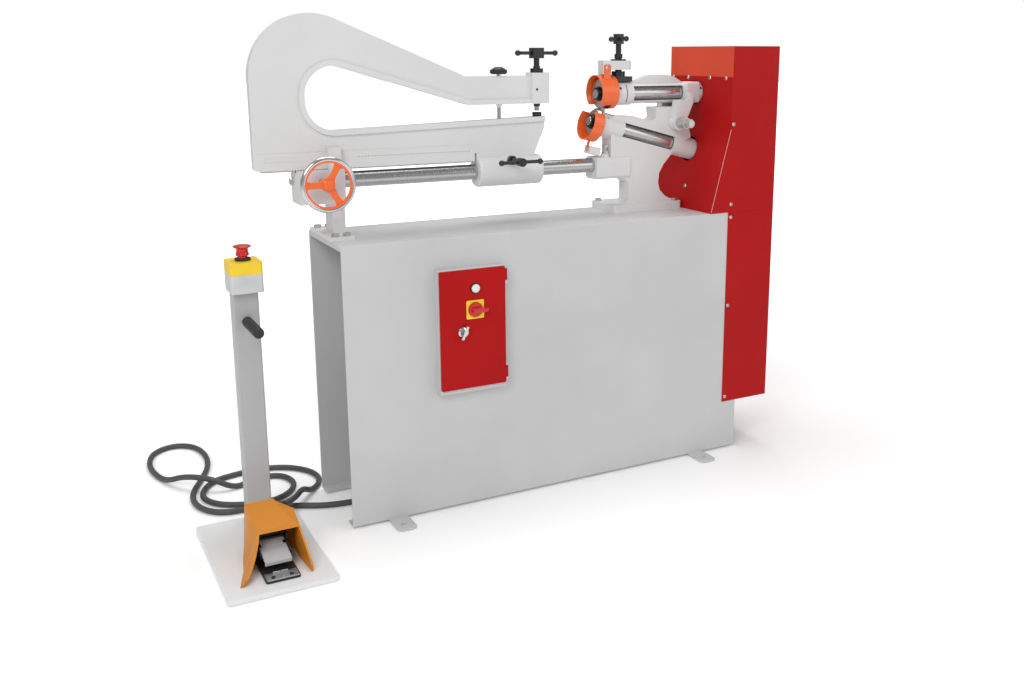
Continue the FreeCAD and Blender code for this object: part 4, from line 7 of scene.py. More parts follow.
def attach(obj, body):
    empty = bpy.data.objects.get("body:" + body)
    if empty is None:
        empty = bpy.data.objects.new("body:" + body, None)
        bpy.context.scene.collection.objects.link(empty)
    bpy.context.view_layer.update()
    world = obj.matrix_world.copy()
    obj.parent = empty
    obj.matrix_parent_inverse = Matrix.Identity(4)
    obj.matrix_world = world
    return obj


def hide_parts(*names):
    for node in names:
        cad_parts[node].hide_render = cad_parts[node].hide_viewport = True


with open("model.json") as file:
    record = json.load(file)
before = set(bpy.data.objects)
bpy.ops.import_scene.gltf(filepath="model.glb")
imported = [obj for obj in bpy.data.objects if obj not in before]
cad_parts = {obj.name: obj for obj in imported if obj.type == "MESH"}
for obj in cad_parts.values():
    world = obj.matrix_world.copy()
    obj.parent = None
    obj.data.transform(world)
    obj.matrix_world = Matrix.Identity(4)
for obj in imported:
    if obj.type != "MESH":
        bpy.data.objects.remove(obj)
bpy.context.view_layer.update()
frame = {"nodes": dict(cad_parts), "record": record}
print("frame loaded:", len(frame["nodes"]), "nodes")

mm = 0.001


# shader maths

class Term:
    # one output socket, added and multiplied like a number from either side

    def __init__(self, shading, socket):
        self.shading = shading
        self.socket = socket

    def joined(self, other, operation):
        return self.shading.node("ShaderNodeMath", {"operation": operation}, {0: self, 1: other})

    def __add__(self, other):
        return self.joined(other, "ADD")

    def __mul__(self, other):
        return self.joined(other, "MULTIPLY")

    __radd__ = __add__
    __rmul__ = __mul__


class Shading:
    # a node tree with its nodes added one call at a time

    def __init__(self, tree):
        self.tree = tree

    def node(self, kind, settings=None, sockets=None, output=0):
        made = self.tree.nodes.new(kind)
        for key, value in (settings or {}).items():
            setattr(made, key, value)
        for key, value in (sockets or {}).items():
            self.fill(made.inputs[key], value)
        return Term(self, made.outputs[output])

    def fill(self, socket, value):
        if isinstance(value, Term):
            self.tree.links.new(value.socket, socket)
        else:
            socket.default_value = value

    def between(self, value, low, high, start=0.0, end=1.0):
        return self.node("ShaderNodeMapRange", {}, {
            "Value": value, "From Min": low, "From Max": high, "To Min": start, "To Max": end})


class Finish(Shading):
    # a material, built up in front of its main shader

    def __init__(self, name, colour, roughness, metallic=0.0, **sockets):
        self.material = bpy.data.materials.new(name)
        self.material.use_nodes = True
        super().__init__(self.material.node_tree)
        self.shader = self.tree.nodes["Principled BSDF"]
        self.put("Base Color", (*colour, 1))
        self.put("Roughness", roughness)
        self.put("Metallic", metallic)
        for key, value in sockets.items():
            self.put(key.replace("_", " "), value)

    def put(self, key, value):
        self.fill(self.shader.inputs[key], value)

    def place(self, scale=(1, 1, 1)):
        spot = self.node("ShaderNodeTexCoord", output="Object")
        return self.node("ShaderNodeMapping", {}, {"Vector": spot, "Scale": scale})

    def noise(self, scale, detail=2, roughness=0.5, stretch=(1, 1, 1)):
        return self.node("ShaderNodeTexNoise", {}, {
            "Vector": self.place(stretch), "Scale": scale, "Detail": detail,
            "Roughness": roughness})

    def patches(self, kind, start=0.0, end=1.0):
        # one of the slow noises, spread between two values
        low, high = slowRange[kind]
        return self.between(self.noise(*slowNoise[kind]), low, high, start, end)

    def mixed(self, share, first, second):
        return self.node("ShaderNodeMix", {"data_type": "RGBA"}, {
            0: share, 6: (*first, 1) if isinstance(first, tuple) else first,
            7: (*second, 1) if isinstance(second, tuple) else second}, output=2)

    def bumped(self, height):
        self.put("Normal", self.node("ShaderNodeBump", {}, {
            "Height": height, "Distance": 1.0, "Strength": 1.0}))


def shade(colour, factor):
    return tuple(min(1.0, part * factor) for part in colour)


# scale and detail of the slow noises, then the part of each that is used
slowNoise = {"cloud": (3.2, 4), "sheen": (34, 3), "stain": (18, 3), "tint": (25, 3)}
slowRange = {"cloud": (0.3, 0.7), "sheen": (0.3, 0.7), "stain": (0.3, 0.75), "tint": (0.3, 0.7)}
castSkin = {"scale": 46, "detail": 3, "roughness": 0.62}
coatRoughness = {"paint": 0.25, "plastic": 0.08}
# how far the painted light on one side blends into the rest
paintedLightBlend = 0.4 * mm


def paintFinish(name, colour, roughness=0.4, grain=260, depth=0.00016, coarse=0.0, dust=0.05,
                coat=0.1, shine=0.4, uneven=0.065, paintedLightSide=None):
    # sprayed paint: a fine orange peel, faint cloudiness and, on castings, the skin underneath;
    # where asked, one side painted lighter as painted light
    made = Finish(name, colour, roughness, Coat_Weight=coat,
                  Coat_Roughness=coatRoughness["paint"], Specular_IOR_Level=shine)
    body = made.mixed(made.patches("cloud"), shade(colour, 1 - dust), shade(colour, 1 + dust))
    if paintedLightSide:
        # painted light: the side that lies below a given x is painted a lighter red, as if more
        # light fell on it
        litColour, limit = paintedLightSide
        along = made.node("ShaderNodeSeparateXYZ", {}, {0: made.place()})
        share = made.between(along, limit, limit + paintedLightBlend, 1.0, 0.0)
        body = made.mixed(share, body, litColour)
    made.put("Base Color", body)
    made.put("Roughness", made.patches("sheen", roughness - uneven, roughness + uneven))
    height = made.noise(grain) * depth
    if coarse:
        height = height + made.noise(**castSkin) * coarse
    made.bumped(height)
    return made.material


steelLook = {"squeeze": 0.02, "darker": 0.95, "lighter": 1.03, "marks": (0.25, 0.75)}


def steelFinish(name, colour, roughness=0.24, along=(1, 0, 0), lines=900, depth=0.000004,
                spread=0.05):
    # turned or ground metal: fine marks across the length
    made = Finish(name, colour, roughness, 1.0)
    stretch = tuple(1.0 if part else steelLook["squeeze"] for part in along)
    marks = made.noise(lines, stretch=stretch)
    made.put("Base Color", made.mixed(made.patches("stain"), shade(colour, steelLook["darker"]),
                                      shade(colour, steelLook["lighter"])))
    made.put("Roughness", made.between(marks, *steelLook["marks"], roughness - spread / 2,
                                       roughness + spread))
    made.bumped(marks * depth)
    return made.material


plasticLook = {"darker": 0.94, "lighter": 1.05, "grain": (0.3, 0.7), "smoother": 0.04,
               "rougher": 0.05}


def plasticFinish(name, colour, roughness=0.4, grain=700, depth=0.00003, coat=0.0):
    look = plasticLook
    made = Finish(name, colour, roughness, Coat_Weight=coat,
                  Coat_Roughness=coatRoughness["plastic"])
    marks = made.noise(grain)
    made.put("Base Color", made.mixed(made.patches("tint"), shade(colour, look["darker"]),
                                      shade(colour, look["lighter"])))
    made.put("Roughness", made.between(marks, *look["grain"], roughness - look["smoother"],
                                       roughness + look["rougher"]))
    made.bumped(marks * depth)
    return made.material


finishes = {
    "cabinet_paint": paintFinish("cabinetPaint", (0.585, 0.587, 0.59), 0.42),
    "casting_paint": paintFinish("castingPaint", (0.71, 0.712, 0.71), 0.38, coarse=0.0006,
                                 depth=0.0001, dust=0.03),
    "cover_red": paintFinish("coverRed", (0.44, 0.004, 0.005), 0.4, dust=0.08, coat=0, shine=0.15),
    # the cap's red, with its left side painted lighter as painted light
    "cap_red_painted_light": paintFinish("capRed", (0.44, 0.004, 0.005), 0.4, dust=0.08, coat=0, shine=0.15,
                           paintedLightSide=((0.68, 0.075, 0.035), 0.5436)),
    "guard_orange": paintFinish("guardOrange", (0.90, 0.15, 0.03), 0.25, depth=0.00008,
                                coat=0.4),
    "hood_orange": paintFinish("hoodOrange", (0.66, 0.24, 0.02), 0.42, grain=500, depth=0.00007,
                               coat=0, shine=0.25),
    "stand_paint": paintFinish("standPaint", (0.47, 0.47, 0.475), 0.4),
    "plate_white": paintFinish("plateWhite", (0.82, 0.82, 0.82), 0.3, depth=0.00001, dust=0.01,
                               coat=0.5, uneven=0.01),
    "bright_steel": steelFinish("brightSteel", (0.55, 0.55, 0.55)),
    "zinc_steel": steelFinish("zincSteel", (0.66, 0.65, 0.62), 0.32, (0, 0, 1), lines=400),
    "dark_steel": steelFinish("darkSteel", (0.07, 0.07, 0.075), 0.36, lines=300),
    "bronze": steelFinish("bronze", (0.50, 0.34, 0.16), 0.3),
    "aluminium": steelFinish("aluminium", (0.62, 0.63, 0.64), 0.4, (0, 1, 0)),
    "motor_paint": paintFinish("motorPaint", (0.12, 0.14, 0.16), 0.5),
    "black_plastic": plasticFinish("blackPlastic", (0.022, 0.022, 0.023), 0.5),
    "yellow_plastic": plasticFinish("yellowPlastic", (0.95, 0.66, 0.025), 0.4),
    "red_plastic": plasticFinish("redPlastic", (0.60, 0.012, 0.016), 0.28, coat=0.4),
    "lamp_lens": plasticFinish("lampLens", (0.82, 0.80, 0.78), 0.2, coat=0.5),
    "cable_jacket": plasticFinish("cableJacket", (0.075, 0.075, 0.077), 0.5, grain=180,
                                  depth=0.00012),
    "belt_rubber": plasticFinish("beltRubber", (0.03, 0.03, 0.03), 0.7),
    "grey_plastic": plasticFinish("greyPlastic", (0.62, 0.63, 0.635), 0.38),
    "polished": steelFinish("polishedSteel", (0.74, 0.74, 0.74), 0.16, lines=300, spread=0.06),
}
slotOf = {part["node"]: part["material_slot"] for part in frame["record"]["subparts"]}
for label, obj in frame["nodes"].items():
    obj.data.materials.clear()
    obj.data.materials.append(finishes[slotOf[label]])
print("finishes:", len(finishes))


# camera

photoView = {"place": (-1.2406, -2.438, 1.1442), "heading": 28.55, "pitch": 12.29,
             "focal": 1030.0, "frameWidth": 1024.0, "shift": (-0.0488, -0.0625),
             "sensor": 36.0, "near": 0.05, "far": 200}


def makeCamera():
    view = photoView
    lens = bpy.data.cameras.new("photoCamera")
    lens.sensor_width = view["sensor"]
    lens.lens = view["focal"] / view["frameWidth"] * lens.sensor_width
    lens.shift_x, lens.shift_y = view["shift"]
    lens.clip_start, lens.clip_end = view["near"], view["far"]
    camera = bpy.data.objects.new("photoCamera", lens)
    bpy.context.scene.collection.objects.link(camera)
    camera.location = view["place"]
    camera.rotation_euler = (math.radians(90 - view["pitch"]), 0, -math.radians(view["heading"]))
    bpy.context.scene.camera = camera
    print("camera done")


makeCamera()


# pedal cable

pedalLead = {
    "diameter": 0.015, "length": 3.192, "roundness": 6, "steps": 10, "order": 3,
    "route": [(-300, -83, 326), (-300, -83, 256), (-303, -76, 175), (-314, -66, 105),
              (-345, -52, 40), (-410, -30, 9), (-500, 4, 7.5), (-590, 12, 7.5),
              (-672, 58, 7.5), (-760, 92, 7.5), (-842, 94, 7.5), (-890, 160, 7.5),
              (-890, 250, 7.5), (-846, 345, 7.5), (-812, 435, 7.5), (-806, 530, 7.5),
              (-826, 608, 7.5), (-880, 640, 7.5), (-938, 606, 7.5), (-960, 530, 7.5),
              (-958, 450, 7.5), (-936, 374, 7.5), (-896, 312, 37.5), (-836, 262, 37.5),
              (-782, 242, 7.5), (-738, 263, 7.5), (-688, 282, 7.5), (-644, 262, 7.5),
              (-628, 200, 7.5), (-656, 140, 7.5), (-712, 108, 7.5), (-778, 120, 7.5),
              (-838, 152, 7.5), (-868, 208, 7.5), (-856, 268, 7.5), (-818, 318, 7.5),
              (-756, 334, 7.5), (-688, 342, 7.5), (-616, 316, 7.5), (-566, 252, 7.5),
              (-562, 180, 7.5), (-603, 125, 7.5), (-638, 84, 37.5), (-668, 34, 37.5),
              (-706, 15, 34), (-736, 15, 34)],
}


def makeLead():
    size = pedalLead
    line = bpy.data.curves.new("pedalLead", "CURVE")
    line.dimensions = "3D"
    line.bevel_depth = size["diameter"] / 2
    line.bevel_resolution = size["roundness"]
    line.resolution_u = size["steps"]
    line.use_fill_caps = True
    spline = line.splines.new("NURBS")
    spline.points.add(len(size["route"]) - 1)
    for point, spot in zip(spline.points, size["route"]):
        point.co = (*(part * mm for part in spot), 1)
    spline.order_u = size["order"]
    spline.use_endpoint_u = True
    lead = bpy.data.objects.new("pedalLead", line)
    bpy.context.scene.collection.objects.link(lead)
    line.materials.append(finishes["cable_jacket"])
    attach(lead, "machine")
    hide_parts("pedal_cable")


makeLead()
print("cable done")


# shaping; places, radii and widths are in mm

leastRadius = 0.01 * mm
weld = {"lathe": 0.03 * mm, "copy": 0.01 * mm}
flatAngle = 0.4  # neighbouring faces of a copy that turn less than this become one
closely = 0.9  # how closely a face or an edge has to follow a direction to be picked
frontWay = (0, -1, 0)
bodyOf = {}
for bodyName, held in frame["record"]["behaviour"]["bodies"].items():
    for label in held:
        bodyOf[label] = bodyName


def clear():
    if bpy.context.object and bpy.context.object.mode != "OBJECT":
        bpy.ops.object.mode_set(mode="OBJECT")
    bpy.ops.object.select_all(action="DESELECT")


def chosen(*pieces):
    clear()
    for piece in pieces:
        piece.select_set(True)
    bpy.context.view_layer.objects.active = pieces[0]
    return pieces[0]


def opened(kind):
    # edit mode with the whole mesh selected
    bpy.context.tool_settings.mesh_select_mode = (kind == "points", kind == "edges", False)
    bpy.ops.object.mode_set(mode="EDIT")
    bpy.ops.mesh.select_all(action="SELECT")


def marked(piece, kind, test):
    # edit mode with only the faces or edges picked whose middle and direction pass the test
    chosen(piece)
    bpy.context.tool_settings.mesh_select_mode = (False, kind == "edges", kind == "faces")
    mesh = piece.data
    for group in (mesh.polygons, mesh.edges, mesh.vertices):
        group.foreach_set("select", [False] * len(group))
    if kind == "faces":
        for face in mesh.polygons:
            face.select = test(face.center, face.normal)
    else:
        for edge in mesh.edges:
            first, second = (mesh.vertices[index].co for index in edge.vertices)
            edge.select = test((first + second) / 2, (second - first).normalized())
    bpy.ops.object.mode_set(mode="EDIT")


def placed(piece):
    # puts the object's place, turn and scale into its mesh
    chosen(piece)
    bpy.ops.object.transform_apply(location=True, rotation=True, scale=True)
    return piece


def joined(*pieces):
    first = chosen(*pieces)
    if len(pieces) > 1:
        bpy.ops.object.join()
    return first


def finished(piece, name, body, slot, replaces=(), angle=32, look=None):
    placed(piece)
    piece.name = name
    piece.data.name = name
    bpy.ops.object.shade_smooth_by_angle(angle=math.radians(angle))
    even = piece.modifiers.new("even", "WEIGHTED_NORMAL")
    even.keep_sharp = True
    bpy.ops.object.modifier_apply(modifier=even.name)
    piece.data.materials.clear()
    piece.data.materials.append(look or finishes[slot])
    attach(piece, body)
    if replaces:
        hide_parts(*replaces)
    clear()


def beside(place, offset):
    return tuple(first + second for first, second in zip(place, offset))


def block(corners, soft=0.0, segments=3, place=(0, 0, 0)):
    # a box between two corners, its edges rounded
    low, high = (Vector(beside(place, corner)) * mm for corner in corners)
    clear()
    bpy.ops.mesh.primitive_cube_add(size=1, location=(low + high) / 2)
    piece = bpy.context.object
    piece.scale = high - low
    placed(piece)
    if soft:
        opened("edges")
        bpy.ops.mesh.bevel(offset=soft * mm, segments=segments, affect="EDGES", profile=0.5)
        bpy.ops.object.mode_set(mode="OBJECT")
    return piece


def turned(profile, middle, facing=(0, 0, 1), sides=48, start=0.0):
    # a lathe: a ring is drawn along the profile of (along, radius) pairs, radius 0 closes an end
    facing = Vector(facing).normalized()
    middle = Vector(middle) * mm
    points = [(start + along, max(radius * mm, leastRadius)) for along, radius in profile]
    along, radius = points[0]
    clear()
    bpy.ops.mesh.primitive_circle_add(
        vertices=sides, radius=radius, fill_type="NOTHING",
        location=middle + facing * along * mm,
        rotation=facing.to_track_quat("Z", "Y").to_euler())
    piece = placed(bpy.context.object)
    opened("points")
    for (along, radius), (nextAlong, nextRadius) in zip(points, points[1:]):
        share = nextRadius / radius
        bpy.ops.mesh.extrude_region_move(
            TRANSFORM_OT_translate={"value": facing * (nextAlong - along) * mm})
        bpy.ops.transform.resize(value=(share, share, share),
                                 center_override=middle + facing * nextAlong * mm)
    bpy.ops.mesh.select_all(action="SELECT")
    bpy.ops.mesh.remove_doubles(threshold=weld["lathe"])
    bpy.ops.mesh.normals_make_consistent(inside=False)
    bpy.ops.object.mode_set(mode="OBJECT")
    return piece


def drawnOut(piece, way, steps, centre):
    # pulls the end that faces one way out in steps; each step has its reach and its growth
    way = Vector(way)
    marked(piece, "faces", lambda middle, normal: normal.dot(way) > closely)
    for reach, growth in steps:
        bpy.ops.mesh.extrude_region_move(TRANSFORM_OT_translate={"value": way * reach * mm})
        bpy.ops.transform.resize(value=growth, center_override=Vector(centre) * mm)
    bpy.ops.object.mode_set(mode="OBJECT")


def swung(piece, angle, axis, centre):
    # turns a piece about a point
    centre = Vector(centre) * mm
    piece.data.transform(Matrix.Translation(centre)
                         @ Matrix.Rotation(math.radians(angle), 4, axis)
                         @ Matrix.Translation(-centre))
    return piece


def twin(piece, shift=(0, 0, 0)):
    # a copy with its own mesh
    again = bpy.data.objects.new(piece.name, piece.data.copy())
    bpy.context.scene.collection.objects.link(again)
    again.data.transform(Matrix.Translation(Vector(shift) * mm))
    return again


def cutBy(piece, *tools):
    # takes the tools out of the piece
    for tool in tools:
        chosen(piece)
        cutter = piece.modifiers.new("cut", "BOOLEAN")
        cutter.operation = "DIFFERENCE"
        cutter.solver = "EXACT"
        cutter.object = tool
        bpy.ops.object.modifier_apply(modifier=cutter.name)
        bpy.data.objects.remove(tool)


def bevelled(piece, width, segments=2, angle=35):
    chosen(piece)
    soft = piece.modifiers.new("soft", "BEVEL")
    soft.width = width * mm
    soft.segments = segments
    soft.limit_method = "ANGLE"
    soft.angle_limit = math.radians(angle)
    soft.use_clamp_overlap = True
    bpy.ops.object.modifier_apply(modifier=soft.name)
    return piece


def freed(label):
    # a merged copy of a node's mesh
    piece = bpy.data.objects.new(label, frame["nodes"][label].data.copy())
    bpy.context.scene.collection.objects.link(piece)
    chosen(piece)
    opened("points")
    bpy.ops.mesh.remove_doubles(threshold=weld["copy"])
    bpy.ops.mesh.dissolve_limited(angle_limit=math.radians(flatAngle), delimit=set())
    bpy.ops.object.mode_set(mode="OBJECT")
    return piece


# castings and sheet work, with their edges rounded

softEdges = {
    # node: width of the rounding
    "c_frame": 2.6, "head_frame": 2.4, "upper_arm": 1.8, "screw_bracket": 2.4,
    "support_post": 1.8, "cabinet_shell": 1.1, "control_box": 1.6, "control_door": 1.3,
    "cover_cap": 0.9, "cover_upper": 0.8, "cover_lower": 0.8, "stand_base": 1.6,
    "stand_post": 1.4, "stop_box": 2.2, "stop_lid": 2.4, "screw_shoe": 1.2,
    "upper_guard": 0.5, "lower_guard": 0.5, "head_screw": 0.6, "clamp_screw": 0.7,
    "clamp_nut": 0.8, "head_screw_nut": 0.8, "hub_lock": 0.7, "pivot_bolt": 0.9,
    "frame_bolts": 0.8, "upper_cutter": 0.5, "lower_cutter": 0.5, "upper_cutter_nut": 0.5,
    "lower_cutter_nut": 0.5, "strut_knob": 1.2, "anvil": 0.6, "clamp_pad": 0.6,
    "pedal_base": 0.9, "drive_motor": 1.2, "pinion_shaft": 0.4, "guide_bar": 1.2,
}


def softCopies():
    for label, width in softEdges.items():
        piece = bevelled(freed(label), width)
        first, *others = label.split("_")
        name = first + "".join(part.title() for part in others)
        # the cap takes the red whose left side is painted lighter, as painted light
        look = finishes["cap_red_painted_light"] if label == "cover_cap" else None
        finished(piece, name, bodyOf[label], slotOf[label], (label,), look=look)
    print("edges rounded:", len(softEdges))


softCopies()


# panel screws

panelScrew = {
    "profile": [(-1.2, 0), (-1.2, 2.7), (0, 2.7), (0, 5.292), (0.748, 5.4), (1.7, 4.86),
                (2.72, 3.348), (3.298, 1.62), (3.4, 0)],
    "sides": 28,
    "slots": [((-2.8, -0.55, 1.8), (2.8, 0.55, 4.4)), ((-0.55, -2.8, 1.8), (0.55, 2.8, 4.4))],
    "capSide": {"x": 543, "level": 1076, "depths": (-109, -35, 70, 145)},
    "front": {"y": -140, "rows": [(551, (952, 729)), (552, (692, 436, 161))]},
    "upperGuard": (228, 2.8, 1106),
    "lowerGuard": {"axis": (208.3, 957.4), "depth": 32, "tilt": 15, "along": -8, "drop": 75},
    "flare": ((497.4, 8, 768), (-235, 0, 62)),
}


def screwPlaces():
    # place and facing of each head
    size = panelScrew
    side, front, guard = size["capSide"], size["front"], size["lowerGuard"]
    places = [((side["x"], depth, side["level"]), (-1, 0, 0)) for depth in side["depths"]]
    places += [((x, front["y"], level), frontWay) for x, levels in front["rows"]
               for level in levels]
    places.append((size["upperGuard"], frontWay))
    sine, cosine = (way(math.radians(guard["tilt"])) for way in (math.sin, math.cos))
    (x, z), along, drop = guard["axis"], guard["along"], guard["drop"]
    places.append(((x + along * cosine - drop * sine, guard["depth"],
                    z - along * sine - drop * cosine), (-cosine, 0, sine)))
    flarePlace, flareWay = size["flare"]
    places.append((flarePlace, Vector(flareWay).normalized()))
    return places


def makeScrews():
    size = panelScrew
    head = turned(size["profile"], (0, 0, 0), sides=size["sides"])
    for slot in size["slots"]:
        cutBy(head, block(slot))
    heads = []
    for place, facing in screwPlaces():
        again = twin(head)
        turn = Vector(facing).to_track_quat("Z", "Y").to_matrix().to_4x4()
        again.data.transform(Matrix.Translation(Vector(place) * mm) @ turn)
        heads.append(again)
    bpy.data.objects.remove(head)
    finished(joined(*heads), "panelScrews", "machine", slotOf["panel_screws"],
             ("panel_screws",), angle=30)
    print("panel screws:", len(heads))


makeScrews()


# handwheel

handwheel = {
    "middle": (-569.5, 0, 841), "front": 62, "sides": 96, "hubSides": 48,
    # profiles as (distance ahead of the front, radius)
    "rim": [(-1, 57.5), (0, 59.9), (-0.6, 62.9), (-3, 65.8), (-6.4, 67), (-9.5, 66.2),
            (-12, 63.6), (-13, 59.9), (-12, 57.5), (-8, 56.5), (-4, 56.5), (-1, 57.5)],
    "band": [(-1.6, 57.7), (-1.2, 55.5), (-2.4, 52), (-9, 52.4), (-11, 55.5), (-11, 57.7),
             (-1.6, 57.7)],
    "hub": [(-24, 10.2), (-24, 15), (-23, 16), (-8, 17), (-6.4, 16.6), (-5, 15), (-3, 12.6),
            (1.6, 12.2), (2.6, 11), (2.6, 7.2), (2.1, 6.6), (2.1, 3.8), (2.8, 3.2), (2.8, 0)],
    "stub": ((-10, -57, -10), (0, -49, 10)), "inset": (-2, 0, 0), "soft": 2.2,
    "growth": [(12, (1, 1, 0.78)), (18, (1, 1, 0.98)), (10, (1, 1, 1.3)), (5, (1, 1, 1.6))],
    "turns": (120, 240),
}


def makeHandwheel():
    size = handwheel
    middle, front, sides = size["middle"], size["front"], size["sides"]
    rim = turned(size["rim"], middle, frontWay, sides, front)
    finished(rim, "handwheelRim", "handwheel", "bright_steel", ("handwheel",), angle=40,
             look=finishes["polished"])
    band = turned(size["band"], middle, frontWay, sides, front)
    hub = turned(size["hub"], middle, frontWay, size["hubSides"], front)
    # a spoke starts as a stub at the hub, grows out in steps and widens at the rim
    spoke = block(size["stub"])
    drawnOut(spoke, (-1, 0, 0), size["growth"], (0, 0, 0))
    spoke.data.transform(Matrix.Translation(Vector(beside(middle, size["inset"])) * mm))
    bevelled(spoke, size["soft"], segments=3, angle=50)
    spokes = [spoke] + [swung(twin(spoke), angle, "Y", middle) for angle in size["turns"]]
    finished(joined(hub, band, *spokes), "handwheelSpider", "handwheel", "guard_orange", angle=40)
    print("handwheel done")


makeHandwheel()


# door fittings; profiles as (distance ahead of the door, radius)

doorFront = 165.8
pilotLamp = {
    "middle": (-247, 0, 579), "wider": 1.38, "bezelFrom": -0.1, "lensFrom": 2.7,
    "bezel": [(-1, 7), (0, 10), (2.2, 10), (3.4, 9.4), (3.8, 8.4), (3.2, 8)],
    "lens": [(-11, 6.9), (2.6, 6.9), (2.8, 8), (4.6, 7.8), (6.4, 6.2), (7.6, 3.6), (7.9, 0)],
}
mainSwitch = {
    "middle": (-249, 0, 526), "wider": 1.38, "discFrom": 2.75, "discSides": 56,
    "plate": ((-23.5, -2.6, -23.5), (23.5, 0, 23.5)), "corner": 3.4, "soft": 0.6,
    "disc": [(-8, 4.9), (2.7, 4.9), (2.7, 13), (3, 14), (7, 13.4), (8.4, 12.6), (8.8, 11),
             (8.6, 0)],
    "grip": ((-12, -21, -5), (4, -8, 5)), "gripTop": -21, "gripSoft": 2.2,
    "growth": [(14, (1, 0.92, 0.92)), (12, (1, 0.86, 0.86))], "gripGrown": (0.95, 1.25),
    "cap": [(20.6, 0), (20.6, 3.6), (21.4, 3.2), (21.4, 0)], "capAt": (-4, 0, 0), "capSides": 24,
}
doorLock = {
    "middle": (-281, 0, 471), "wider": 1.38, "roseFrom": 1.5, "turn": 25,
    "rose": [(-11, 7.9), (0.3, 7.9), (0.3, 10), (1.6, 9.8), (2.8, 8.6), (3, 6.4), (2.2, 6),
             (2.2, 0)],
    "wing": ((-2.6, -13.6, -2), (2.6, -2.4, 2)), "wingSoft": 1.0, "wingGrown": 1.5,
    "growth": [(4, (0.86, 1, 1)), (4, (1.25, 1, 1)), (2, (0.8, 1, 1))],
    "tongue": ((-3, -157.8, -8), (3, -155.3, 8)), "tongueSoft": 0.5,
}


def grown(piece, middle, ahead, along, up):
    # widens what lies further out than a given depth, so that stems keep to their holes
    x, _, z = (part * mm for part in middle)
    for vertex in piece.data.vertices:
        if vertex.co.y <= -(doorFront + ahead) * mm:
            vertex.co.x = x + (vertex.co.x - x) * along
            vertex.co.z = z + (vertex.co.z - z) * up


def makePilotLamp():
    size = pilotLamp
    middle, wider = size["middle"], size["wider"]
    bezel = turned(size["bezel"], middle, frontWay, start=doorFront)
    grown(bezel, middle, size["bezelFrom"], wider, wider)
    finished(bezel, "lampBezel", "door", "black_plastic", ("pilot_lamp",), angle=40)
    lens = turned(size["lens"], middle, frontWay, start=doorFront)
    grown(lens, middle, size["lensFrom"], wider, wider)
    finished(lens, "lampLens", "door", "lamp_lens", angle=50)


def makeMainSwitch():
    size = mainSwitch
    middle, wider = size["middle"], size["wider"]
    surface = beside(middle, (0, -doorFront, 0))
    plate = block(size["plate"], place=surface)
    marked(plate, "edges", lambda centre, way: abs(way.y) > closely)
    bpy.ops.mesh.bevel(offset=size["corner"] * mm, segments=5, affect="EDGES")
    bpy.ops.object.mode_set(mode="OBJECT")
    finished(bevelled(plate, size["soft"], angle=50), "switchPlate", "door", "yellow_plastic")
    disc = turned(size["disc"], middle, frontWay, size["discSides"], doorFront)
    grip = block(size["grip"], place=surface)
    drawnOut(grip, (1, 0, 0), size["growth"], beside(surface, (-middle[0], size["gripTop"], 0)))
    bevelled(grip, size["gripSoft"], segments=3, angle=50)
    grown(grip, middle, 0, *size["gripGrown"])
    grown(disc, middle, size["discFrom"], wider, wider)
    cap = turned(size["cap"], beside(middle, size["capAt"]), frontWay, size["capSides"],
                 doorFront)
    finished(joined(disc, grip, cap), "switchKnob", "switch_knob", "red_plastic",
             ("switch_knob",), angle=40)


def makeDoorLock():
    size = doorLock
    middle, wider = size["middle"], size["wider"]
    rose = turned(size["rose"], middle, frontWay, start=doorFront)
    wing = block(size["wing"], place=beside(middle, (0, -doorFront, 0)))
    for side in (-1, 1):
        drawnOut(wing, (0, 0, side), size["growth"], middle)
    bevelled(wing, size["wingSoft"], segments=3, angle=40)
    grown(wing, middle, 0, size["wingGrown"], size["wingGrown"])
    swung(wing, size["turn"], "Y", middle)
    grown(rose, middle, size["roseFrom"], wider, wider)
    tongue = block(size["tongue"], size["tongueSoft"], place=middle)
    finished(joined(rose, wing, tongue), "doorLock", "door_lock", "zinc_steel",
             ("door_lock",), angle=40, look=finishes["polished"])


makePilotLamp()
makeMainSwitch()
makeDoorLock()
print("door fittings done")


# stop station; profiles as (height over the floor, radius)

stopStation = {
    "middle": (-763.5, 15, 0), "sides": 64,
    "button": [(656, 0), (656, 11.3), (678.4, 11.3), (678.4, 14.3), (679.6, 15.5),
               (682.5, 15.3), (688.5, 13.5), (694, 13.7), (696.6, 15.5), (697.8, 18.5),
               (699, 20.4), (700.2, 21), (701.6, 20.6), (702.8, 18.4), (703.7, 13), (704, 6),
               (704, 0)],
    "collar": [(666.8, 11.9), (666.8, 18.4), (671.2, 18.4), (672.6, 18), (673.2, 17.2),
               (673.2, 11.9), (666.8, 11.9)],
}


def makeStopStation():
    size = stopStation
    button = turned(size["button"], size["middle"], sides=size["sides"])
    finished(button, "stopButton", "stop_button", "red_plastic", ("stop_button",), angle=50)
    collar = turned(size["collar"], size["middle"], sides=size["sides"])
    finished(collar, "stopCollar", "machine", "black_plastic", angle=40)
    print("stop station done")


makeStopStation()


# pedal; the treadle's boxes are measured from its hinge, the base's from its front edge

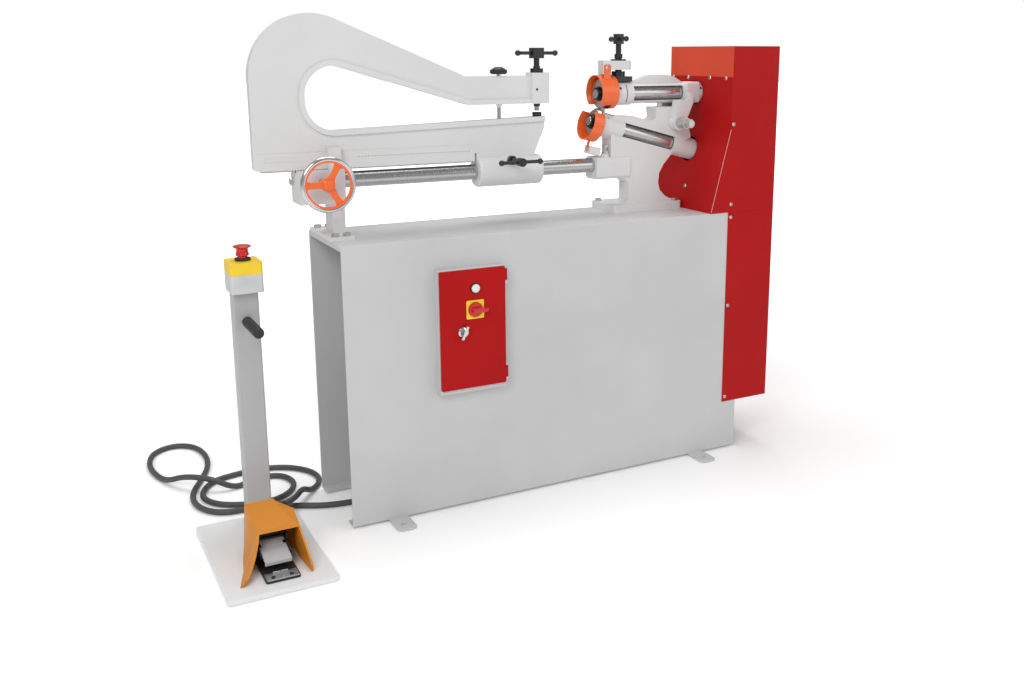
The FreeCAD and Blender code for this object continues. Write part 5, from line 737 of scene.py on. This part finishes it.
treadle = {
    "hinge": (-788, -205, 60), "slope": 11,
    "plate": ((-30, -84, -5.2), (30, -2, -1)), "plateSoft": 1.0,
    "lip": ((-30, -85.5, -11.2), (30, -82, -1.4)), "lipSoft": 0.8,
    "notch": ((-6, -28, -9), (6, -12, 4)), "notchAt": 30,
    "arm": ((-2.2, -62, -9), (2.2, 5, 3.6)), "armAt": 32.6, "armSoft": 1.6,
    "pin": [(-37.3, 0), (-37.3, 2.4), (-36.8, 2.9), (36.8, 2.9), (37.3, 2.4), (37.3, 0)],
    "pinSides": 24,
}
pedalFace = {
    "front": (-788, -330, 0),
    # corners, width of the rounding and its steps
    "boxes": [(((-35, 0.2, 17.6), (35, 4.4, 19.6)), 0.8, 3),
              (((-1.8, 4, 17), (1.8, 34, 23)), 1.2, 2),
              (((-17, 31, 17), (17, 34.5, 22)), 1.2, 2),
              (((-36, 3, 17), (36, 36, 18.6)), 0.6, 2)],
    "screw": [(17.6, 0), (17.6, 4.6), (19.4, 4.8), (20.8, 4.2), (21.4, 3), (21.4, 0)],
    "screwAt": (-20, 12, 0), "screwSides": 28, "groove": ((-6, -0.6, 20.2), (6, 0.6, 23)),
    "apart": (40, 0, 0),
}
pedalHood = {"soft": 2.6, "steps": 4, "angle": 24}


def makeTreadle():
    size = treadle
    hinge, slope = size["hinge"], size["slope"]
    plate = block(size["plate"], size["plateSoft"], segments=2, place=hinge)
    lip = block(size["lip"], size["lipSoft"], segments=2, place=hinge)
    cutBy(plate, *(block(size["notch"], place=beside(hinge, (side * size["notchAt"], 0, 0)))
                   for side in (-1, 1)))
    tread = swung(joined(plate, lip), slope, "X", hinge)
    finished(tread, "treadlePlate", "treadle", "aluminium", ("treadle",), angle=35,
             look=finishes["stand_paint"])
    arms = []
    for side in (-1, 1):
        arm = block(size["arm"], size["armSoft"], segments=2,
                    place=beside(hinge, (side * size["armAt"], 0, 0)))
        arms.append(swung(arm, slope, "X", hinge))
    pin = turned(size["pin"], hinge, (1, 0, 0), size["pinSides"])
    finished(joined(*arms, pin), "treadleArms", "treadle", "black_plastic", angle=35)


def makePedalFace():
    # the front of the base: a bright edge, a stiffening rib and two slotted screws
    size = pedalFace
    boxes = [block(corners, soft, steps, size["front"]) for corners, soft, steps in size["boxes"]]
    finished(joined(*boxes), "pedalFace", "machine", "aluminium", angle=35)
    place = beside(size["front"], size["screwAt"])
    head = turned(size["screw"], place, sides=size["screwSides"])
    cutBy(head, block(size["groove"], place=place))
    other = twin(head, size["apart"])
    finished(joined(head, other), "pedalScrews", "machine", "dark_steel", angle=35)


def makeHood():
    size = pedalHood
    piece = bevelled(freed("pedal_hood"), size["soft"], size["steps"], size["angle"])
    finished(piece, "pedalHood", "machine", "hood_orange", ("pedal_hood",), angle=50)


makeTreadle()
makePedalFace()
makeHood()
print("pedal done")


# grip and cable glands

standGrip = {
    "back": (-766, -5, 522), "long": 125, "radius": 12.5, "sides": 40,
    "foot": [(-8.4, 0), (-8.4, 5), (0, 5), (0, 11.1), (1.4, 12.5)],
    # the groove and the end as (along, step away from the full radius)
    "groove": [(0, 0), (0.9, -0.9), (2.2, -0.9), (3.1, 0)], "grooves": 9, "first": 9.0,
    "plain": 22, "end": [(-7, 0), (-3, -0.6), (-0.8, -2.6), (0, -6), (0, -12.5)],
}
cableGlands = {
    "ends": [((-300, -83, 326), (0, 0, -1)), ((-736, 15, 34), (1, 0, 0))],
    "bore": 7.65, "nutSides": 6, "bootSides": 32,
    "nut": [(0, 7.65), (0, 11.6), (0.8, 12.6), (7, 12.6), (8, 11.4), (8, 7.65), (0, 7.65)],
    "foot": [(8, 7.65), (8, 11.25)], "end": [(38, 8.15), (38, 7.65), (8, 7.65)],
    "ring": [(0, 0), (2.8, -0.2), (3.2, -1.1), (4.2, -1.1)], "rings": 6, "first": 9.5,
    "pitch": 4.6, "proud": 3.5, "taper": 0.42,
}


def stepped(pattern, start, radius):
    # a stretch of profile from its (along, step away from the full radius) pairs
    return [(start + along, radius + step) for along, step in pattern]


def makeGrip():
    size = standGrip
    long, radius, count = size["long"], size["radius"], size["grooves"]
    pitch = (long - size["plain"]) / count
    profile = list(size["foot"])
    for index in range(count):
        profile += stepped(size["groove"], size["first"] + index * pitch, radius)
    profile += stepped(size["end"], long, radius)
    grip = turned(profile, size["back"], frontWay, size["sides"])
    finished(grip, "standGrip", "machine", "black_plastic", ("stand_grip",), angle=40)


def makeGlands():
    # a hexagonal nut against the wall, then a boot that tapers down to the cable
    size = cableGlands
    boot = list(size["foot"])
    for index in range(size["rings"]):
        boot += stepped(size["ring"], size["first"] + index * size["pitch"],
                        size["bore"] + size["proud"] - index * size["taper"])
    boot += size["end"]
    pieces = []
    for place, facing in size["ends"]:
        pieces.append(turned(size["nut"], place, facing, size["nutSides"]))
        pieces.append(turned(boot, place, facing, size["bootSides"]))
    finished(joined(*pieces), "cableGlands", "machine", "black_plastic", ("cable_glands",),
             angle=40)


makeGrip()
makeGlands()
print("grip and glands done")


# marks on the castings and the cover

coverSeam = {"high": (543, 941), "low": (481, 706), "ends": 3, "soft": 0.12,
             "left": 0.4, "right": 1.3, "front": -140.35, "back": -139.8}
carriageMarks = {
    "face": (0, 20, 0),
    "ledge": ((-716, -0.9, 912.8), (-166, 0.3, 914)), "ledgeSoft": 0.5,
    "slot": ((-700, -0.7, 893), (-610, 0.3, 905)), "slotSoft": 0.3,
    "slotRoom": ((-697.6, -2, 895.4), (-612.4, 2, 902.6)),
    "dot": [(-0.3, 0), (-0.3, 1.3), (0.35, 1.1), (0.45, 0)], "dotSides": 8,
    "firstDot": -470, "dotLevel": 897, "dots": 36, "pitch": 8.4,
}
# the rack's rounding, and a dark strip behind its teeth that is painted shade for the gaps
rackBar = {"soft": 0.3, "paintedGapShade": ((-706, 24, 867.6), (-162, 40, 871.6)), "paintedGapShadeSoft": 0.3}
armBlock = {"corners": ((489, 2.6, 1005.6), (540, 61.4, 1064.4)), "soft": 7}
# the boss's curved groove, drawn as a black strip: painted shade for its hollow
bossGrooveShade = {"axis": (0, 32, 1035), "cut": ((290.15, -32.7, -1.9), (291.85, -30.7, 1.9)),
              "angles": range(-42, 43, 7)}
# black plugs with a rim, painted shade for the dark inside of each oil hole
oilHoleShade = {
    "sides": 28,
    # the profile as (along, step away from the full radius)
    "edge": [(-1.4, 0), (0.9, 0), (1.3, -0.5), (0.7, -1.1)], "foot": -1.4, "top": 0.7,
    # body, place on the surface, way it faces, radius
    "holes": [("carriage", (16, 9, 1051), (-0.35, -1, 0.1), 3.0),
              ("arm", (271, 3.6, 1049.5), (0, -0.86, 0.5), 3.4),
              ("arm", (541, 5.6, 1046), (0, -0.92, 0.38), 3.4),
              ("machine", (233.4, 5.6, 970.5), (0.1, -0.82, 0.56), 3.2),
              ("machine", (493, 8.8, 899), (0.1, -0.8, 0.6), 3.2)],
}


def makeSeam():
    # the bare folded edge where the cover's front meets its slanted side
    size = coverSeam
    top, foot = (Vector((x, 0, z)) for x, z in (size["high"], size["low"]))
    middle, run = (top + foot) / 2, top - foot
    half = run.length / 2 - size["ends"]
    seam = block(((size["left"], size["front"], -half), (size["right"], size["back"], half)),
                 size["soft"], segments=1)
    seam.data.transform(Matrix.Translation(middle * mm)
                        @ Matrix.Rotation(math.atan2(run.x, run.z), 4, "Y"))
    finished(seam, "coverSeam", "machine", "cover_red", angle=30, look=finishes["casting_paint"])


def makeCarriageMarks():
    # a raised ledge over the rack, a long slot's rim near its left end and a row of small dots
    size = carriageMarks
    ledge = block(size["ledge"], size["ledgeSoft"], segments=2, place=size["face"])
    rim = block(size["slot"], size["slotSoft"], segments=1, place=size["face"])
    cutBy(rim, block(size["slotRoom"], place=size["face"]))
    finished(joined(ledge, rim), "carriageLedge", "carriage", "casting_paint", angle=30)
    dot = turned(size["dot"], size["face"], frontWay, size["dotSides"])
    dots = [twin(dot, (size["firstDot"] + index * size["pitch"], 0, size["dotLevel"]))
            for index in range(size["dots"])]
    bpy.data.objects.remove(dot)
    finished(joined(*dots), "carriageDots", "carriage", "dark_steel", angle=30)


def makeRack():
    # the bar is painted with the carriage; a dark strip behind its teeth is painted shade, so the
    # gaps between the teeth read dark
    size = rackBar
    rack = bevelled(freed("rack"), size["soft"], segments=1)
    finished(rack, "rackBar", bodyOf["rack"], "casting_paint", ("rack",), angle=30)
    # painted shade: a dark strip set behind the teeth
    paintedGapShade = block(size["paintedGapShade"], size["paintedGapShadeSoft"], segments=1)
    finished(paintedGapShade, "rackPaintedGapShade", bodyOf["rack"], "black_plastic", angle=30)


def makeArmDetails():
    # the squared block behind the window, and the short curved groove on the front boss, drawn as
    # a black strip that is painted shade for its hollow
    finished(block(armBlock["corners"], armBlock["soft"], segments=4), "armBlock", "arm",
             "casting_paint", angle=40)
    size = bossGrooveShade
    piece = block(size["cut"])
    arcs = [swung(twin(piece), angle, "X", (0, 0, 0)) for angle in size["angles"]]
    bpy.data.objects.remove(piece)
    groove = joined(*arcs)
    groove.data.transform(Matrix.Translation(Vector(size["axis"]) * mm))
    finished(groove, "bossGrooveShade", "arm", "black_plastic", angle=30)


def makeOilHoles():
    # each hole's dark inside is painted shade: a black plug with a rim
    size = oilHoleShade
    groups = {}
    for body, place, facing, radius in size["holes"]:
        profile = [(size["foot"], 0), *stepped(size["edge"], 0, radius), (size["top"], 0)]
        plug = turned(profile, place, facing, size["sides"])
        groups.setdefault(body, []).append(plug)
    for body, plugs in groups.items():
        finished(joined(*plugs), "oilHoleShades." + body, body, "black_plastic", angle=40)


makeSeam()
makeCarriageMarks()
makeRack()
makeArmDetails()
makeOilHoles()
print("marks done")


# floor and light

studio = {"floorRadius": 40, "floorSides": 96, "floorLevel": -0.5 * mm,
          "paper": (0.93, 0.93, 0.93), "paperRoughness": 0.9, "ambient": 0.5, "mirrored": 0.3,
          "floorLift": 0.12, "fadeFrom": 1.2, "fadeTo": 5.0}
lamps = [
    # name, place, aim, size, watts
    ("keyLamp", (-3.2, -3.2, 3.6), (-0.1, 0, 0.7), 2.6, 95),
    ("fillLamp", (3.4, -3.6, 2.2), (0.1, 0, 0.7), 3.2, 34),
    ("topLamp", (0.2, 0.8, 4.2), (0, 0, 0.5), 3.0, 78),
]


def seenDirectly(made):
    # the far floor runs into the white background
    camera = made.node("ShaderNodeLightPath", output="Is Camera Ray")
    flat = made.node("ShaderNodeVectorMath", {"operation": "LENGTH"}, {0: made.place()}, output=1)
    far = made.between(flat, studio["fadeFrom"], studio["fadeTo"])
    return camera * (far + studio["floorLift"])


def makeFloor():
    clear()
    bpy.ops.mesh.primitive_circle_add(vertices=studio["floorSides"],
                                      radius=studio["floorRadius"], fill_type="NGON",
                                      location=(0, 0, studio["floorLevel"]))
    floor = bpy.context.object
    floor.name = "studioFloor"
    made = Finish("floorPaper", studio["paper"], studio["paperRoughness"])
    soft = made.node("ShaderNodeEmission", {}, {"Color": (1, 1, 1, 1),
                                                "Strength": seenDirectly(made)})
    both = made.node("ShaderNodeAddShader", {}, {0: Term(made, made.shader.outputs[0]), 1: soft})
    made.tree.links.new(both.socket, made.tree.nodes["Material Output"].inputs["Surface"])
    floor.data.materials.append(made.material)


def makeWorld():
    # white for the camera, dimmer for the light on the part and for what it mirrors
    world = bpy.data.worlds.new("studioWorld")
    bpy.context.scene.world = world
    world.use_nodes = True
    made = Shading(world.node_tree)
    glossy = made.node("ShaderNodeLightPath", output="Is Glossy Ray")
    direct = made.node("ShaderNodeLightPath", output="Is Camera Ray")
    dimmed = made.between(glossy, 0, 1, studio["ambient"], studio["mirrored"])
    back = made.tree.nodes["Background"]
    made.fill(back.inputs["Color"], (1, 1, 1, 1))
    made.fill(back.inputs["Strength"], made.between(direct, 0, 1, dimmed, 1.0))


def makeLamps():
    for name, place, aim, size, watts in lamps:
        lamp = bpy.data.lights.new(name, "AREA")
        lamp.shape = "DISK"
        lamp.size = size
        lamp.energy = watts
        obj = bpy.data.objects.new(name, lamp)
        bpy.context.scene.collection.objects.link(obj)
        obj.location = place
        away = Vector(place) - Vector(aim)
        obj.rotation_euler = away.to_track_quat("Z", "Y").to_euler()


makeFloor()
makeWorld()
makeLamps()
bpy.context.scene.view_settings.view_transform = "Standard"
print("studio done")
